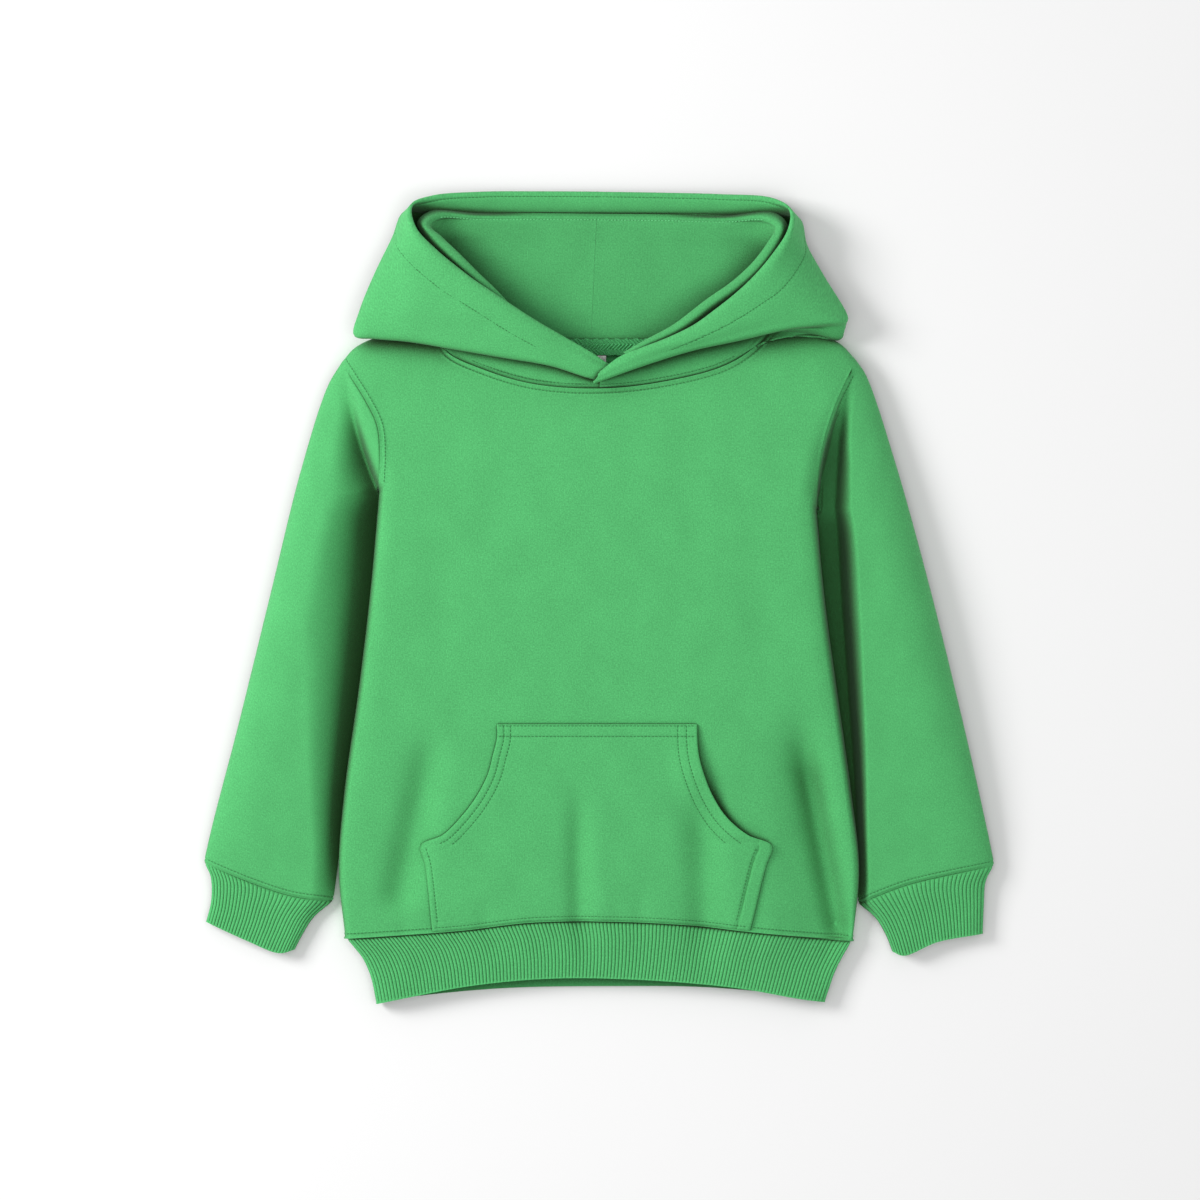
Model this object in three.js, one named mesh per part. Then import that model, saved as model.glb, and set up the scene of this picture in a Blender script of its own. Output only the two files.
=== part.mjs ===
import * as THREE from "three";

// A child's pullover hoodie in cotton fleece, laid on its back and softly lofted.
// Millimetres, +Z up from the surface it lies on, +Y towards the hood.
// Left and right are as seen from above.

// Driving sizes
const WALL = 2;
const SEAM_GAP = 0.3;
const HALF_WALL = WALL / 2;
const SHOULDER_ROUND = 36;
const BODY_ROUND = 28;
const LIP_RISE = 4;
const LIP_ROUND = 5;
const LIP_FADE = 30;
const APEX_Y = 170;
const FADE_Y = 118;
const UNDERARM_HEIGHT = 13;
const ARMHOLE_GAP = 0.25; // on the sleeve's side, where the cloth turns sharply
const ON_THE_LINE = 0.08; // a point this close to a sampled line counts as on it

// Heights of the cloth's outer face above the surface, by place up the garment
const BODY_HEIGHT = [
  // y, height
  [-262, 17], [-225, 22], [-150, 30], [-60, 37], [20, 41], [84, 41], [130, 36], [168, 29], [205, 24],
];
const SLEEVE_HEIGHT = [
  // y, height
  [-235, 13], [-205, 18], [-160, 25], [-80, 31], [0, 34], [84, 31], [130, 28], [168, 26], [205, 22],
];
const SIDE_EDGE = [
  // y, height
  [-262, 9], [-225, 11], [-180, 13], [84, 13], [205, 13],
];
const OUTER_EDGE = [
  // y, height
  [-235, 6.5], [-205, 8], [-160, 11], [-60, 13], [100, 13], [184, 12], [205, 12],
];
const INNER_EDGE = [
  // y, height
  [-235, 6.5], [-200, 6], [40, 5], [62, 7], [84, 13], [205, 13],
];

// Outlines seen from above, one table for each edge on each side
const LEFT = {
  sign: -1,
  underarmY: 84,
  side: [
    // x, y, from the hem seam to the underarm
    [-195, -262], [-200, -210], [-195.4, -147], [-184.6, -70], [-175.4, 7], [-168.5, 84],
  ],
  armhole: [
    // x, y, from the underarm to the shoulder tip
    [-168.5, 84], [-167.5, 110], [-169.5, 133], [-179, 153], [-189, 169], [-197.7, 182.5],
  ],
  roll: [
    // x, y, where the body rolls over into the valley beside the sleeve
    [-168.5, 84], [-176, 108], [-184, 138], [-192, 170],
  ],
  shoulder: [
    // x, y, from the shoulder tip to the neck corner
    [-197.7, 182.5], [-187, 194], [-165, 203.5], [-127, 207.5],
  ],
  outer: [
    // x, y, from the shoulder tip to the cuff seam
    [-197.7, 182.5], [-208.5, 164], [-229.2, 99], [-253.8, -1], [-279.2, -104], [-297, -172],
    [-304.5, -204],
  ],
  inner: [
    // x, y, from the underarm to the cuff seam
    [-168.5, 84], [-170.8, 62], [-172.2, 38], [-175, 7], [-184, -70], [-194.6, -147],
    [-200.8, -205], [-204.6, -234],
  ],
  cuffSeam: [
    // x, y, from the inner edge to the outer edge
    [-204.6, -234], [-236.2, -229.5], [-267, -219.5], [-304.5, -204],
  ],
  cuffOuter: [
    // x, y
    [-304.5, -204], [-299.8, -214], [-299.2, -232], [-303.1, -249.2],
  ],
  cuffInner: [
    // x, y
    [-204.6, -234], [-219, -246], [-227.5, -259], [-233.8, -270.8],
  ],
  cuffEnd: [
    // x, y, from the inner edge to the outer edge
    [-233.8, -270.8], [-246, -273.5], [-272, -263.5], [-303.1, -249.2],
  ],
  valleyWidth: [
    // y, width
    [-235, 22], [-200, 30], [-100, 40], [0, 38], [84, 34], [130, 20], [170, 10],
  ],
};
const RIGHT = {
  sign: 1,
  underarmY: 70,
  side: [
    [196.5, -264], [201.5, -209], [195, -147], [184.2, -70], [174.8, 0], [168.2, 70],
  ],
  armhole: [
    [168.2, 70], [169, 97], [173.5, 123], [182, 149], [190.6, 168], [199.2, 184],
  ],
  roll: [
    [168.2, 70], [174, 104], [183, 138], [193, 170],
  ],
  shoulder: [
    [199.2, 184], [187, 196.5], [166, 206.5], [136, 210.5],
  ],
  outer: [
    [199.2, 184], [207, 172], [230, 103], [258.5, -1], [284.6, -108], [301, -181], [306.2, -206],
  ],
  inner: [
    [168.2, 70], [170.6, 48], [172.4, 26], [175.4, -4], [183.6, -70], [194.2, -147],
    [200.4, -215], [200.8, -235.4],
  ],
  cuffSeam: [
    [200.8, -235.4], [238, -221], [271, -213], [306.2, -206],
  ],
  cuffOuter: [
    [306.2, -206], [300, -218], [298.5, -238], [297.7, -258.5],
  ],
  cuffInner: [
    [200.8, -235.4], [214, -247], [221.5, -259], [226.9, -272.3],
  ],
  cuffEnd: [
    [226.9, -272.3], [236, -275.5], [262, -265], [297.7, -258.5],
  ],
  valleyWidth: [
    [-235, 12], [-200, 12], [-100, 22], [0, 27], [70, 28], [130, 18], [170, 10],
  ],
};
const HEM_SEAM = [
  // x, y
  [-195, -262], [-171, -260.5], [-104, -255.5], [-53, -249.5], [2, -248.5], [63, -251],
  [125, -257.5], [196.5, -264],
];
const HEM_LEFT = [
  [-195, -262], [-189, -269], [-182, -278], [-176, -292], [-171.5, -313],
];
const HEM_RIGHT = [
  [196.5, -264], [191, -273.5], [184, -287], [179, -301], [175.5, -311.5],
];
const HEM_FRONT_END = [
  [-171.5, -313], [-153, -309], [-97, -298.5], [-36, -293], [29, -293.8], [105, -300],
  [150, -307.7], [175.5, -311.5],
];
const HEM_BACK_END = [
  [-171.5, -313], [-150, -308.5], [-75, -301], [17, -299.3], [84, -300.2], [150, -306.5],
  [175.5, -311.5],
];
const FRONT_NECK = [
  // x, y, from the left neck corner to the right one
  [-127, 207.5], [-116, 189.5], [-88, 176], [-50, 165], [0, 161.5], [46, 166], [96, 178.5],
  [120, 193], [136, 210.5],
];
const BACK_NECK = [
  [-127, 207.5], [-72, 197.5], [0, 195], [76, 198.5], [136, 210.5],
];

// The front's largest folds: soft troughs, or ridges where the depth is negative
const FOLDS = [
  // from x, y, to x, y, half width, depth
  [148, -95, 168, -262, 16, 3.2], [-120, -100, -160, -240, 15, 2.4], [-21, -130, -16, -215, 18, 1.2],
  [63, -120, 58, -220, 18, 1.2], [-13, -222, -13, -262, 8, -1.6], [-86, -232, -88, -262, 9, 1.4],
  [118, 40, 138, -60, 20, 1.6], [-112, 60, -128, -40, 20, 1.4],
];
const FOLD_FADE = 26;

// Hem band and cuffs
const HEM_HEIGHT_AT_END = 15;
const HEM_EDGE_AT_END = 7.5;
const CUFF_HEIGHT_AT_END = 12;
const CUFF_EDGE_AT_END = 5.5;
const RIB_DEPTH = 0.8;
const RIB_WALL = 2.2;
const HEM_RIBS = 132;
const CUFF_RIBS = 30;
const RIB_EVENNESS = 0.62; // 1 spaces the ribs evenly, less sets them closer at the two sides
const CUFF_SETTLE = 1.4; // how much sooner than its end a cuff comes down to its own height

// Kangaroo pocket, its two edges by place down the front
const POCKET_GAP = 0.8;
const POCKET_LIFT = 4;
const POCKET_LIFT_FROM = 0.8;
const POCKET_ROWS = [
  // y, left x, right x, lift of the right edge
  [-96.3, -77.7, 76.4, 0], [-107, -77.7, 76.4, 0.3], [-120, -80.8, 77.5, 0.7], [-135, -84.8, 81.5, 1],
  [-152, -93.5, 88.5, 1], [-168, -105.6, 99, 0.8], [-181.5, -119.3, 115, 0.6], [-190.5, -136.9, 134, 0.3],
  [-204, -133.6, 130, 0], [-227, -130, 122.6, 0], [-246, -127.6, 116.8, 0],
];
const POCKET_COLUMNS = [0, 0.04, 0.12, 0.25, 0.4, 0.5, 0.6, 0.75, 0.88, 0.96, 1];

// The hood's outer panel on each side: one row for each section, from the centre back round to the
// front. Neck is the place round the neck seam, 0 at the centre back, 1 at the shoulder, 2 at the
// centre front. The crease is the hidden inner fold, the fold is the outline, the rim is the opening.
const HOOD_FOLD_RADIUS = 4;
const HOOD_CREASE_RADIUS = 2.8;
const HOOD_BULGE = 5;
const WIDE_HOOD = 60; // from fold to rim, where the bulge is full
const BULGE_PLACES = [0.35, 0.7];
const CORNER_SPREAD = 0.16;
const HOOD_START = 0.9;
const HOOD_ABOVE_SURFACE = 0.1;
const CORNER_CLEAR = 4.2;
const LAP_CLEAR = 1.6;
const STEEP_NECK = 105; // from this x outwards the neck seam runs steeply
const HOOD_PLACES = [0, 1, 2, 3, 4, 5, 6, 7, 8, 8.6, 9.3, 10, 11];
const HOOD_STEPS = 22;
const HOOD_LEFT = [
  // neck, crease x, y, z, fold x, y, z, rim x, y, z
  [0.0, -0.15, 245, 1.1, -0.15, 306, 5, -0.15, 313.3, 19],
  [0.3, -45, 245, 1.1, -46, 306, 5, -46, 313.5, 20],
  [0.55, -90, 246, 1.1, -92, 305.5, 6, -92, 313, 22],
  [0.74, -118, 248, 1.1, -128, 302.5, 8, -128, 309.8, 25],
  [0.86, -134, 246, 1.3, -149, 298, 12, -143.5, 302.5, 31],
  [0.92, -142, 237, 2, -158, 278, 16, -140.5, 285, 38],
  [0.96, -147, 226, 6, -172, 249, 19, -124, 267, 43],
  [1.0, -152, 215, 12, -183.5, 220, 22, -109, 254.5, 45],
  [1.05, -152, 208, 18, -187, 203, 25, -96, 244.5, 46],
  [1.13, -138, 205, 22, -172, 200.8, 28, -84, 236.5, 46],
  [1.25, -114, 204, 24.5, -145, 198.3, 30.5, -69, 226.5, 46],
  [1.42, -86, 202, 27, -108, 192, 34, -48, 213, 44.5],
  [1.6, -58, 195, 28.5, -72, 185.8, 36, -26, 200.3, 42.5],
  [1.8, -29, 183, 29.5, -36, 179.6, 37, -4, 188.8, 39.5],
  [1.95, -6, 172, 30, -9, 171, 36.5, 7, 181, 38],
];
const HOOD_RIGHT = [
  [0.0, 0.15, 245, 1.1, 0.15, 306, 5, 0.15, 313.3, 19],
  [0.3, 45, 246, 1.1, 46, 305.5, 5, 46, 312.6, 20],
  [0.55, 90, 247, 1.1, 96, 304, 6, 96, 311.2, 22],
  [0.74, 118, 248, 1.1, 134, 300.5, 8, 134, 308.2, 25],
  [0.86, 136, 246, 1.3, 154.5, 293, 12, 148, 299, 31],
  [0.92, 144, 237, 2, 160.5, 272, 16, 146.5, 283, 38],
  [0.96, 149, 224, 5, 173, 249, 19, 133, 262, 43],
  [1.0, 156, 217, 12, 187, 221, 22, 118, 244.8, 45],
  [1.05, 157, 211, 18, 192, 208, 25, 104, 232, 46],
  [1.13, 147, 209, 22, 178, 206.5, 28, 90, 221, 46.5],
  [1.25, 120, 207, 24.5, 147, 208, 31, 74, 210, 47],
  [1.42, 90, 205, 27.5, 110, 199.5, 35, 54, 200, 46.5],
  [1.6, 60, 196, 30, 72, 191.2, 38.5, 34, 194.5, 45.5],
  [1.8, 29, 184, 33, 36, 180, 41, 17, 186.8, 43.5],
  [2.02, 2, 171.5, 36.5, -3.5, 165.8, 42, 1.5, 174, 43.2],
];

// The hood's inner panel on each side, from the centre back round to the front. It lies on the outer
// panel, turns up at the side and rolls over beside the rim.
const ROLL_RADIUS = 3.2;
const LINING_PLACES = [0, 1, 2, 3, 4, 5, 5.5, 6, 7];
const LINING_STEPS = 18;
const LINING_LEFT = [
  // start x, y, z, turn x, y, z, lip x, y, z, end x, y, z
  [-0.15, 199, 3.4, -0.15, 282, 7, -0.15, 292.4, 18, -0.15, 301, 8.5],
  [-45, 200, 3.6, -50, 282, 7, -52, 293, 19, -53, 301, 9],
  [-80, 203, 5.6, -92, 281, 7.5, -98, 293.2, 22, -101, 301, 11],
  [-97, 206, 9, -118, 277, 9, -122, 294, 28, -130, 297.5, 17],
  [-104, 208, 12, -130, 269, 11, -128, 287, 33, -137, 288, 25],
  [-109, 209, 14, -138, 256, 13, -121, 277.8, 35.5, -131, 279.5, 31],
  [-110, 208, 15, -140, 241, 15, -106.5, 264, 37.5, -118, 262, 35],
  [-105, 206, 16.5, -130, 226, 19, -91.5, 249, 38.5, -102, 245.5, 36],
  [-92, 203, 18, -108, 217, 23, -75, 234.5, 38.8, -84, 230, 36],
  [-72, 199, 20, -82, 208, 26, -52, 218.5, 38, -60, 213, 35],
];
const LINING_RIGHT = [
  [0.15, 199, 3.4, 0.15, 282, 7, 0.15, 292.4, 18, 0.15, 301, 8.5],
  [45, 200.5, 4, 50, 281, 7, 55, 291.5, 19, 56, 300, 9],
  [80, 204, 6, 94, 279, 7.5, 100, 290, 22, 103, 299, 11],
  [99, 208, 9, 122, 275, 9, 130, 290.5, 28, 136, 296, 17],
  [107, 209, 12, 137, 266, 11, 137.5, 285, 33, 143.5, 287, 25],
  [112, 209, 14, 146, 252, 13, 132, 274.6, 35.5, 140, 275.5, 31],
  [114, 208, 15, 148, 238, 15, 120, 259, 37.8, 131, 256.5, 35],
  [110, 206, 16.5, 139, 224, 19, 104, 243.6, 38.8, 113, 239, 36],
  [97, 203, 18, 118, 214, 24, 84, 229.5, 39.5, 93, 224, 37],
  [77, 199, 20, 92, 212, 24, 58, 213.5, 39.8, 66, 207.5, 37.5],
  [56, 195, 22, 66, 203, 25, 36, 199, 39.5, 43, 194, 37],
  [40, 191.5, 25, 48, 197, 27, 22, 190.3, 38.8, 29, 187.3, 37],
];

// Tape over the back neck seam and the blank label under it
const TAPE = { fromX: -50, toX: 60, lowY: 188.3, highY: 200.4, height: 5, thickness: 1.2, columns: 10 };
const LABEL = { fromX: -16, toX: 6.2, lowY: 163, highY: 187.6, height: 2.4, thickness: 1, columns: 2 };

// Column and row places of the panels, as fractions of the way across and up
const SHOULDER_COLUMNS = [0, 0.012, 0.036, 0.08, 0.13];
const NECK_CORNER = 0.187;
const NECK_STEPS = 10;
const UNDERARM_ROW = 0.75;
const SIDE_STEPS = 12;
const ARMHOLE_PLACES = [0, 0.04, 0.1, 0.19, 0.3, 0.42, 0.54, 0.66, 0.78, 0.88, 0.95, 1];
const SLEEVE_ROWS = [0, 0.06, 0.12, 0.18, 0.25, 0.33, 0.41, 0.49, 0.57, 0.65, 0.73, 0.81, 0.88, 0.94, 1];

const clamp01 = (t) => Math.min(1, Math.max(0, t));
const mix = (a, b, t) => a + (b - a) * t;
const quarterRound = (t) => Math.sqrt(1 - (1 - clamp01(t)) ** 2);

function easeInOut(t) {
  const s = clamp01(t);
  return s * s * (3 - 2 * s);
}

// Reads a table of [place, value] rows, with a smooth cubic between the rows.
function lookUp(rows, place) {
  if (place <= rows[0][0]) return rows[0][1];
  const last = rows.length - 1;
  if (place >= rows[last][0]) return rows[last][1];
  const i = rows.findIndex((row) => row[0] > place) - 1;
  const slope = (k) => {
    const a = rows[Math.max(0, k - 1)];
    const b = rows[Math.min(last, k + 1)];
    return (b[1] - a[1]) / (b[0] - a[0]);
  };
  const span = rows[i + 1][0] - rows[i][0];
  const t = (place - rows[i][0]) / span;
  const t2 = t * t;
  const t3 = t2 * t;
  return (
    (2 * t3 - 3 * t2 + 1) * rows[i][1] +
    (t3 - 2 * t2 + t) * span * slope(i) +
    (3 * t2 - 2 * t3) * rows[i + 1][1] +
    (t3 - t2) * span * slope(i + 1)
  );
}

// A smooth line through a table's points, read by the fraction of its length.
function route(points) {
  const vectors = points.map(([x, y, z = 0]) => new THREE.Vector3(x, y, z));
  const curve = new THREE.CatmullRomCurve3(vectors, false, "centripetal");
  curve.arcLengthDivisions = 300;
  return (t) => curve.getPointAt(clamp01(t));
}

// One line made of several, each over its own stretch of the fraction.
function joined(parts) {
  return (t) => {
    const part = parts.find((p) => t <= p.to + 1e-9) ?? parts[parts.length - 1];
    return part.line((t - part.from) / (part.to - part.from));
  };
}

const reversed = (line) => (t) => line(1 - t);

// Sampled points of a line, for measuring distances to it.
function sampled(line, steps = 120) {
  return Array.from({ length: steps + 1 }, (_, i) => line(i / steps));
}

// The distance in plan from a point to a sampled line.
function distanceTo(samples, x, y) {
  let best = Infinity;
  for (let i = 0; i + 1 < samples.length; i += 1) {
    const a = samples[i];
    const b = samples[i + 1];
    const dx = b.x - a.x;
    const dy = b.y - a.y;
    const t = clamp01(((x - a.x) * dx + (y - a.y) * dy) / (dx * dx + dy * dy || 1));
    best = Math.min(best, Math.hypot(x - a.x - t * dx, y - a.y - t * dy));
  }
  return Math.max(0, best - ON_THE_LINE);
}

// The lines of one side of the garment, and their samples.
function sideLines(table) {
  const lines = {};
  const edges = ["side", "armhole", "shoulder", "outer", "inner"];
  const cuffEdges = ["cuffSeam", "cuffOuter", "cuffInner", "cuffEnd"];
  for (const key of [...edges, ...cuffEdges]) lines[key] = route(table[key]);
  const roll = sampled(route(table.roll), 30);
  return {
    ...table,
    lines,
    rollPoints: roll,
    outerPoints: sampled(lines.outer),
    bodyEdgePoints: [...sampled(lines.side), ...roll],
    sleeveEdgePoints: [...sampled(reversed(lines.inner)), ...roll],
    sidePoints: sampled(lines.side),
    innerPoints: sampled(lines.inner),
  };
}

const left = sideLines(LEFT);
const right = sideLines(RIGHT);
const shoulderPoints = [
  ...sampled(left.lines.shoulder, 40),
  ...sampled(reversed(right.lines.shoulder), 40),
];
const sideOf = (x) => (x < 0 ? left : right);

// The x at which the body rolls over, by place up the armhole.
function rollX(side, y) {
  const points = side.rollPoints;
  const next = points.find((p) => p.y >= y) ?? points[points.length - 1];
  return next.x;
}

// The height of the valley's foot between body and sleeve above the underarm. It fades out upwards.
function valleyFoot(y, edge) {
  const low = Math.min(lookUp(BODY_HEIGHT, y), lookUp(SLEEVE_HEIGHT, y));
  const rim = lookUp(OUTER_EDGE, y);
  const open = rim + (low - rim) * quarterRound(edge / SHOULDER_ROUND);
  const strength = 1 - easeInOut((y - FADE_Y) / (APEX_Y - FADE_Y));
  return mix(open, Math.min(open, UNDERARM_HEIGHT), strength);
}

function edgeDistance(side, x, y) {
  return Math.min(distanceTo(side.outerPoints, x, y), distanceTo(shoulderPoints, x, y));
}

function dome(heights, y, edge) {
  const rim = lookUp(OUTER_EDGE, y);
  return rim + (lookUp(heights, y) - rim) * quarterRound(edge / SHOULDER_ROUND);
}

// How far the front's folds sink it at a place. Each fades out at its two ends.
function foldDepth(x, y) {
  return FOLDS.reduce((sum, [ax, ay, bx, by, width, depth]) => {
    const length = Math.hypot(bx - ax, by - ay);
    const along = ((x - ax) * (bx - ax) + (y - ay) * (by - ay)) / length;
    const across = ((x - ax) * (by - ay) - (y - ay) * (bx - ax)) / length;
    const fade = easeInOut(along / FOLD_FADE) * easeInOut((length - along) / FOLD_FADE);
    return sum + depth * fade * Math.exp(-((across / width) ** 2));
  }, 0);
}

// The outer face of the front panel above the surface.
function bodyTop(x, y) {
  const side = sideOf(x);
  const edge = edgeDistance(side, x, y);
  const top = dome(BODY_HEIGHT, y, edge) - foldDepth(x, y);
  const foot = y <= side.underarmY ? lookUp(SIDE_EDGE, y) : valleyFoot(y, edge);
  const roll = distanceTo(side.bodyEdgePoints, x, y);
  return foot + (top - foot) * quarterRound(roll / BODY_ROUND);
}

// The outer face of a sleeve's upper side.
function sleeveTop(side, x, y) {
  const above = y > side.underarmY;
  if (above && (y > APEX_Y || side.sign * (x - rollX(side, y)) <= 0)) return bodyTop(x, y);
  const edge = edgeDistance(side, x, y);
  const top = dome(SLEEVE_HEIGHT, y, edge);
  const near = distanceTo(side.sleeveEdgePoints, x, y);
  const foot = above ? valleyFoot(y, edge) : lookUp(INNER_EDGE, y);
  const rise = LIP_RISE * clamp01((side.underarmY - y) / LIP_FADE);
  const lip = Math.min(top, foot + rise * quarterRound(near / LIP_ROUND));
  return lip + (top - lip) * easeInOut(near / lookUp(side.valleyWidth, y));
}

// The outer face of a lower side: flat on the surface, rounded up to its edges.
function roundedUp(heights, samples, x, y) {
  const height = lookUp(heights, y);
  return height * (1 - quarterRound(distanceTo(samples, x, y) / height));
}

function bodyUnder(x, y) {
  const side = sideOf(x);
  return Math.max(
    roundedUp(SIDE_EDGE, side.sidePoints, x, y),
    roundedUp(OUTER_EDGE, shoulderPoints, x, y),
    roundedUp(OUTER_EDGE, side.outerPoints, x, y),
  );
}

function sleeveUnder(side, x, y) {
  return Math.max(
    roundedUp(INNER_EDGE, side.innerPoints, x, y),
    roundedUp(OUTER_EDGE, shoulderPoints, x, y),
    roundedUp(OUTER_EDGE, side.outerPoints, x, y),
  );
}

// A grid of points inside four boundary lines, each with its height from a function of x and y.
function panel({ bottom, top, start, end, columns, rows, height }) {
  const corner = { a: bottom(0), b: bottom(1), c: top(0), d: top(1) };
  return rows.map((v) =>
    columns.map((u) => {
      const between = (key) =>
        mix(bottom(u)[key], top(u)[key], v) +
        mix(start(v)[key], end(v)[key], u) -
        mix(mix(corner.a[key], corner.b[key], u), mix(corner.c[key], corner.d[key], u), v);
      const x = between("x");
      const y = between("y");
      return new THREE.Vector3(x, y, height(x, y, u, v));
    }),
  );
}

// Normals of a grid by differences between neighbours. A looped grid closes across its columns.
function gridNormals(grid, looped = false) {
  const lastRow = grid.length - 1;
  const count = grid[0].length;
  return grid.map((row, j) =>
    row.map((_, i) => {
      const next = looped ? row[(i + 1) % count] : row[Math.min(count - 1, i + 1)];
      const prior = looped ? row[(i + count - 1) % count] : row[Math.max(0, i - 1)];
      const across = next.clone().sub(prior);
      const along = grid[Math.min(lastRow, j + 1)][i].clone().sub(grid[Math.max(0, j - 1)][i]);
      return across.cross(along).normalize();
    }),
  );
}

// Turns the normals of one row square to a direction, so that two pieces butt there.
function squareTo(normals, rowIndex, axis) {
  for (const n of normals[rowIndex]) {
    n.addScaledVector(axis, -n.dot(axis));
    n.normalize();
  }
}

// Moves an edge into its piece, square to the edge and to the cloth's normal, for the seam's gap.
function trimEdge(edge, normals, neighbours, looped, distance = SEAM_GAP / 2) {
  const count = edge.length;
  const steps = edge.map((p, i) => {
    const next = looped ? edge[(i + 1) % count] : edge[Math.min(count - 1, i + 1)];
    const prior = looped ? edge[(i + count - 1) % count] : edge[Math.max(0, i - 1)];
    return next.clone().sub(prior).cross(normals[i]).normalize();
  });
  const inward = steps.reduce((sum, step, i) => sum + step.dot(neighbours[i].clone().sub(edge[i])), 0);
  edge.forEach((p, i) => p.addScaledVector(steps[i], Math.sign(inward) * distance));
}

function trimRow({ grid, normals, looped = false }, j, neighbour, distance) {
  trimEdge(grid[j], normals[j], grid[neighbour], looped, distance);
}

function trimColumn({ grid, normals }, i, neighbour) {
  const columnOf = (rows, k) => rows.map((row) => row[k]);
  trimEdge(columnOf(grid, i), columnOf(normals, i), columnOf(grid, neighbour), false);
}

// Gives points that several pieces share one normal, so that their edges lie face to face.
function sewTogether(pieces) {
  const shared = new Map();
  for (const piece of pieces) {
    piece.grid.forEach((row, j) =>
      row.forEach((p, i) => {
        const key = [p.x, p.y, p.z].map((value) => Math.round(value * 10)).join();
        if (!shared.has(key)) shared.set(key, []);
        const normal = piece.normals[j][i].multiplyScalar(piece.facing);
        shared.get(key).push({ normal, weight: piece.weight });
      }),
    );
  }
  for (const group of shared.values()) {
    const sum = new THREE.Vector3();
    for (const { normal, weight } of group) sum.addScaledVector(normal, weight);
    sum.normalize();
    for (const { normal } of group) normal.copy(sum);
  }
}

// Collects points and faces of one closed solid, and turns them to face outwards.
class Solid {
  constructor() {
    this.points = [];
    this.faces = [];
  }
  add(p) {
    this.points.push(p);
    return this.points.length - 1;
  }
  sheet(grid) {
    return grid.map((row) => row.map((p) => this.add(p)));
  }
  quad(a, b, c, d) {
    this.faces.push([a, b, c], [a, c, d]);
  }
  quads(indices, looped, turned) {
    for (let j = 0; j + 1 < indices.length; j += 1) {
      const count = indices[j].length;
      for (let i = 0; i < (looped ? count : count - 1); i += 1) {
        const k = (i + 1) % count;
        const face = [indices[j][i], indices[j][k], indices[j + 1][k], indices[j + 1][i]];
        if (turned) this.faces.push([face[0], face[2], face[1]], [face[0], face[3], face[2]]);
        else this.quad(...face);
      }
    }
  }
  // Joins two rows of points whose counts may differ, by their places along the row.
  strip(rowA, placesA, rowB, placesB, turned) {
    let a = 0;
    let b = 0;
    while (a < rowA.length - 1 || b < rowB.length - 1) {
      const takeA = b >= rowB.length - 1 || (a < rowA.length - 1 && placesA[a + 1] <= placesB[b + 1]);
      const face = takeA ? [rowA[a], rowA[a + 1], rowB[b]] : [rowA[a], rowB[b + 1], rowB[b]];
      this.faces.push(turned ? [face[0], face[2], face[1]] : face);
      if (takeA) a += 1;
      else b += 1;
    }
  }
  geometry() {
    const volume = this.faces.reduce((sum, [a, b, c]) => {
      const cross = this.points[b].clone().cross(this.points[c]);
      return sum + this.points[a].dot(cross);
    }, 0);
    const faces = volume < 0 ? this.faces.map(([a, b, c]) => [a, c, b]) : this.faces;
    const geometry = new THREE.BufferGeometry();
    const coordinates = this.points.flatMap((p) => [p.x, p.y, p.z]);
    geometry.setAttribute("position", new THREE.Float32BufferAttribute(coordinates, 3));
    geometry.setIndex(faces.flat());
    geometry.computeVertexNormals();
    return geometry;
  }
}

// A wall of cloth between two offsets of a grid.
function wallOf({ grid, normals, looped = false }, low, high) {
  const solid = new Solid();
  const moved = (distance) =>
    grid.map((row, j) => row.map((p, i) => p.clone().addScaledVector(normals[j][i], distance)));
  const a = solid.sheet(moved(low));
  const b = solid.sheet(moved(high));
  solid.quads(b, looped, false);
  solid.quads(a, looped, true);
  const places = (row) => row.map((_, i) => i);
  const close = (row) => (looped ? [...row, row[0]] : row);
  const last = a.length - 1;
  const ends = [close(a[0]), close(b[0]), close(a[last]), close(b[last])];
  solid.strip(ends[0], places(ends[0]), ends[1], places(ends[1]), false);
  solid.strip(ends[2], places(ends[2]), ends[3], places(ends[3]), true);
  if (!looped) {
    const columnOf = (sheet, i) => sheet.map((row) => row[i]);
    const end = a[0].length - 1;
    const sides = [columnOf(a, 0), columnOf(b, 0), columnOf(a, end), columnOf(b, end)];
    solid.strip(sides[0], places(sides[0]), sides[1], places(sides[1]), true);
    solid.strip(sides[2], places(sides[2]), sides[3], places(sides[3]), false);
  }
  return solid.geometry();
}

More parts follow.
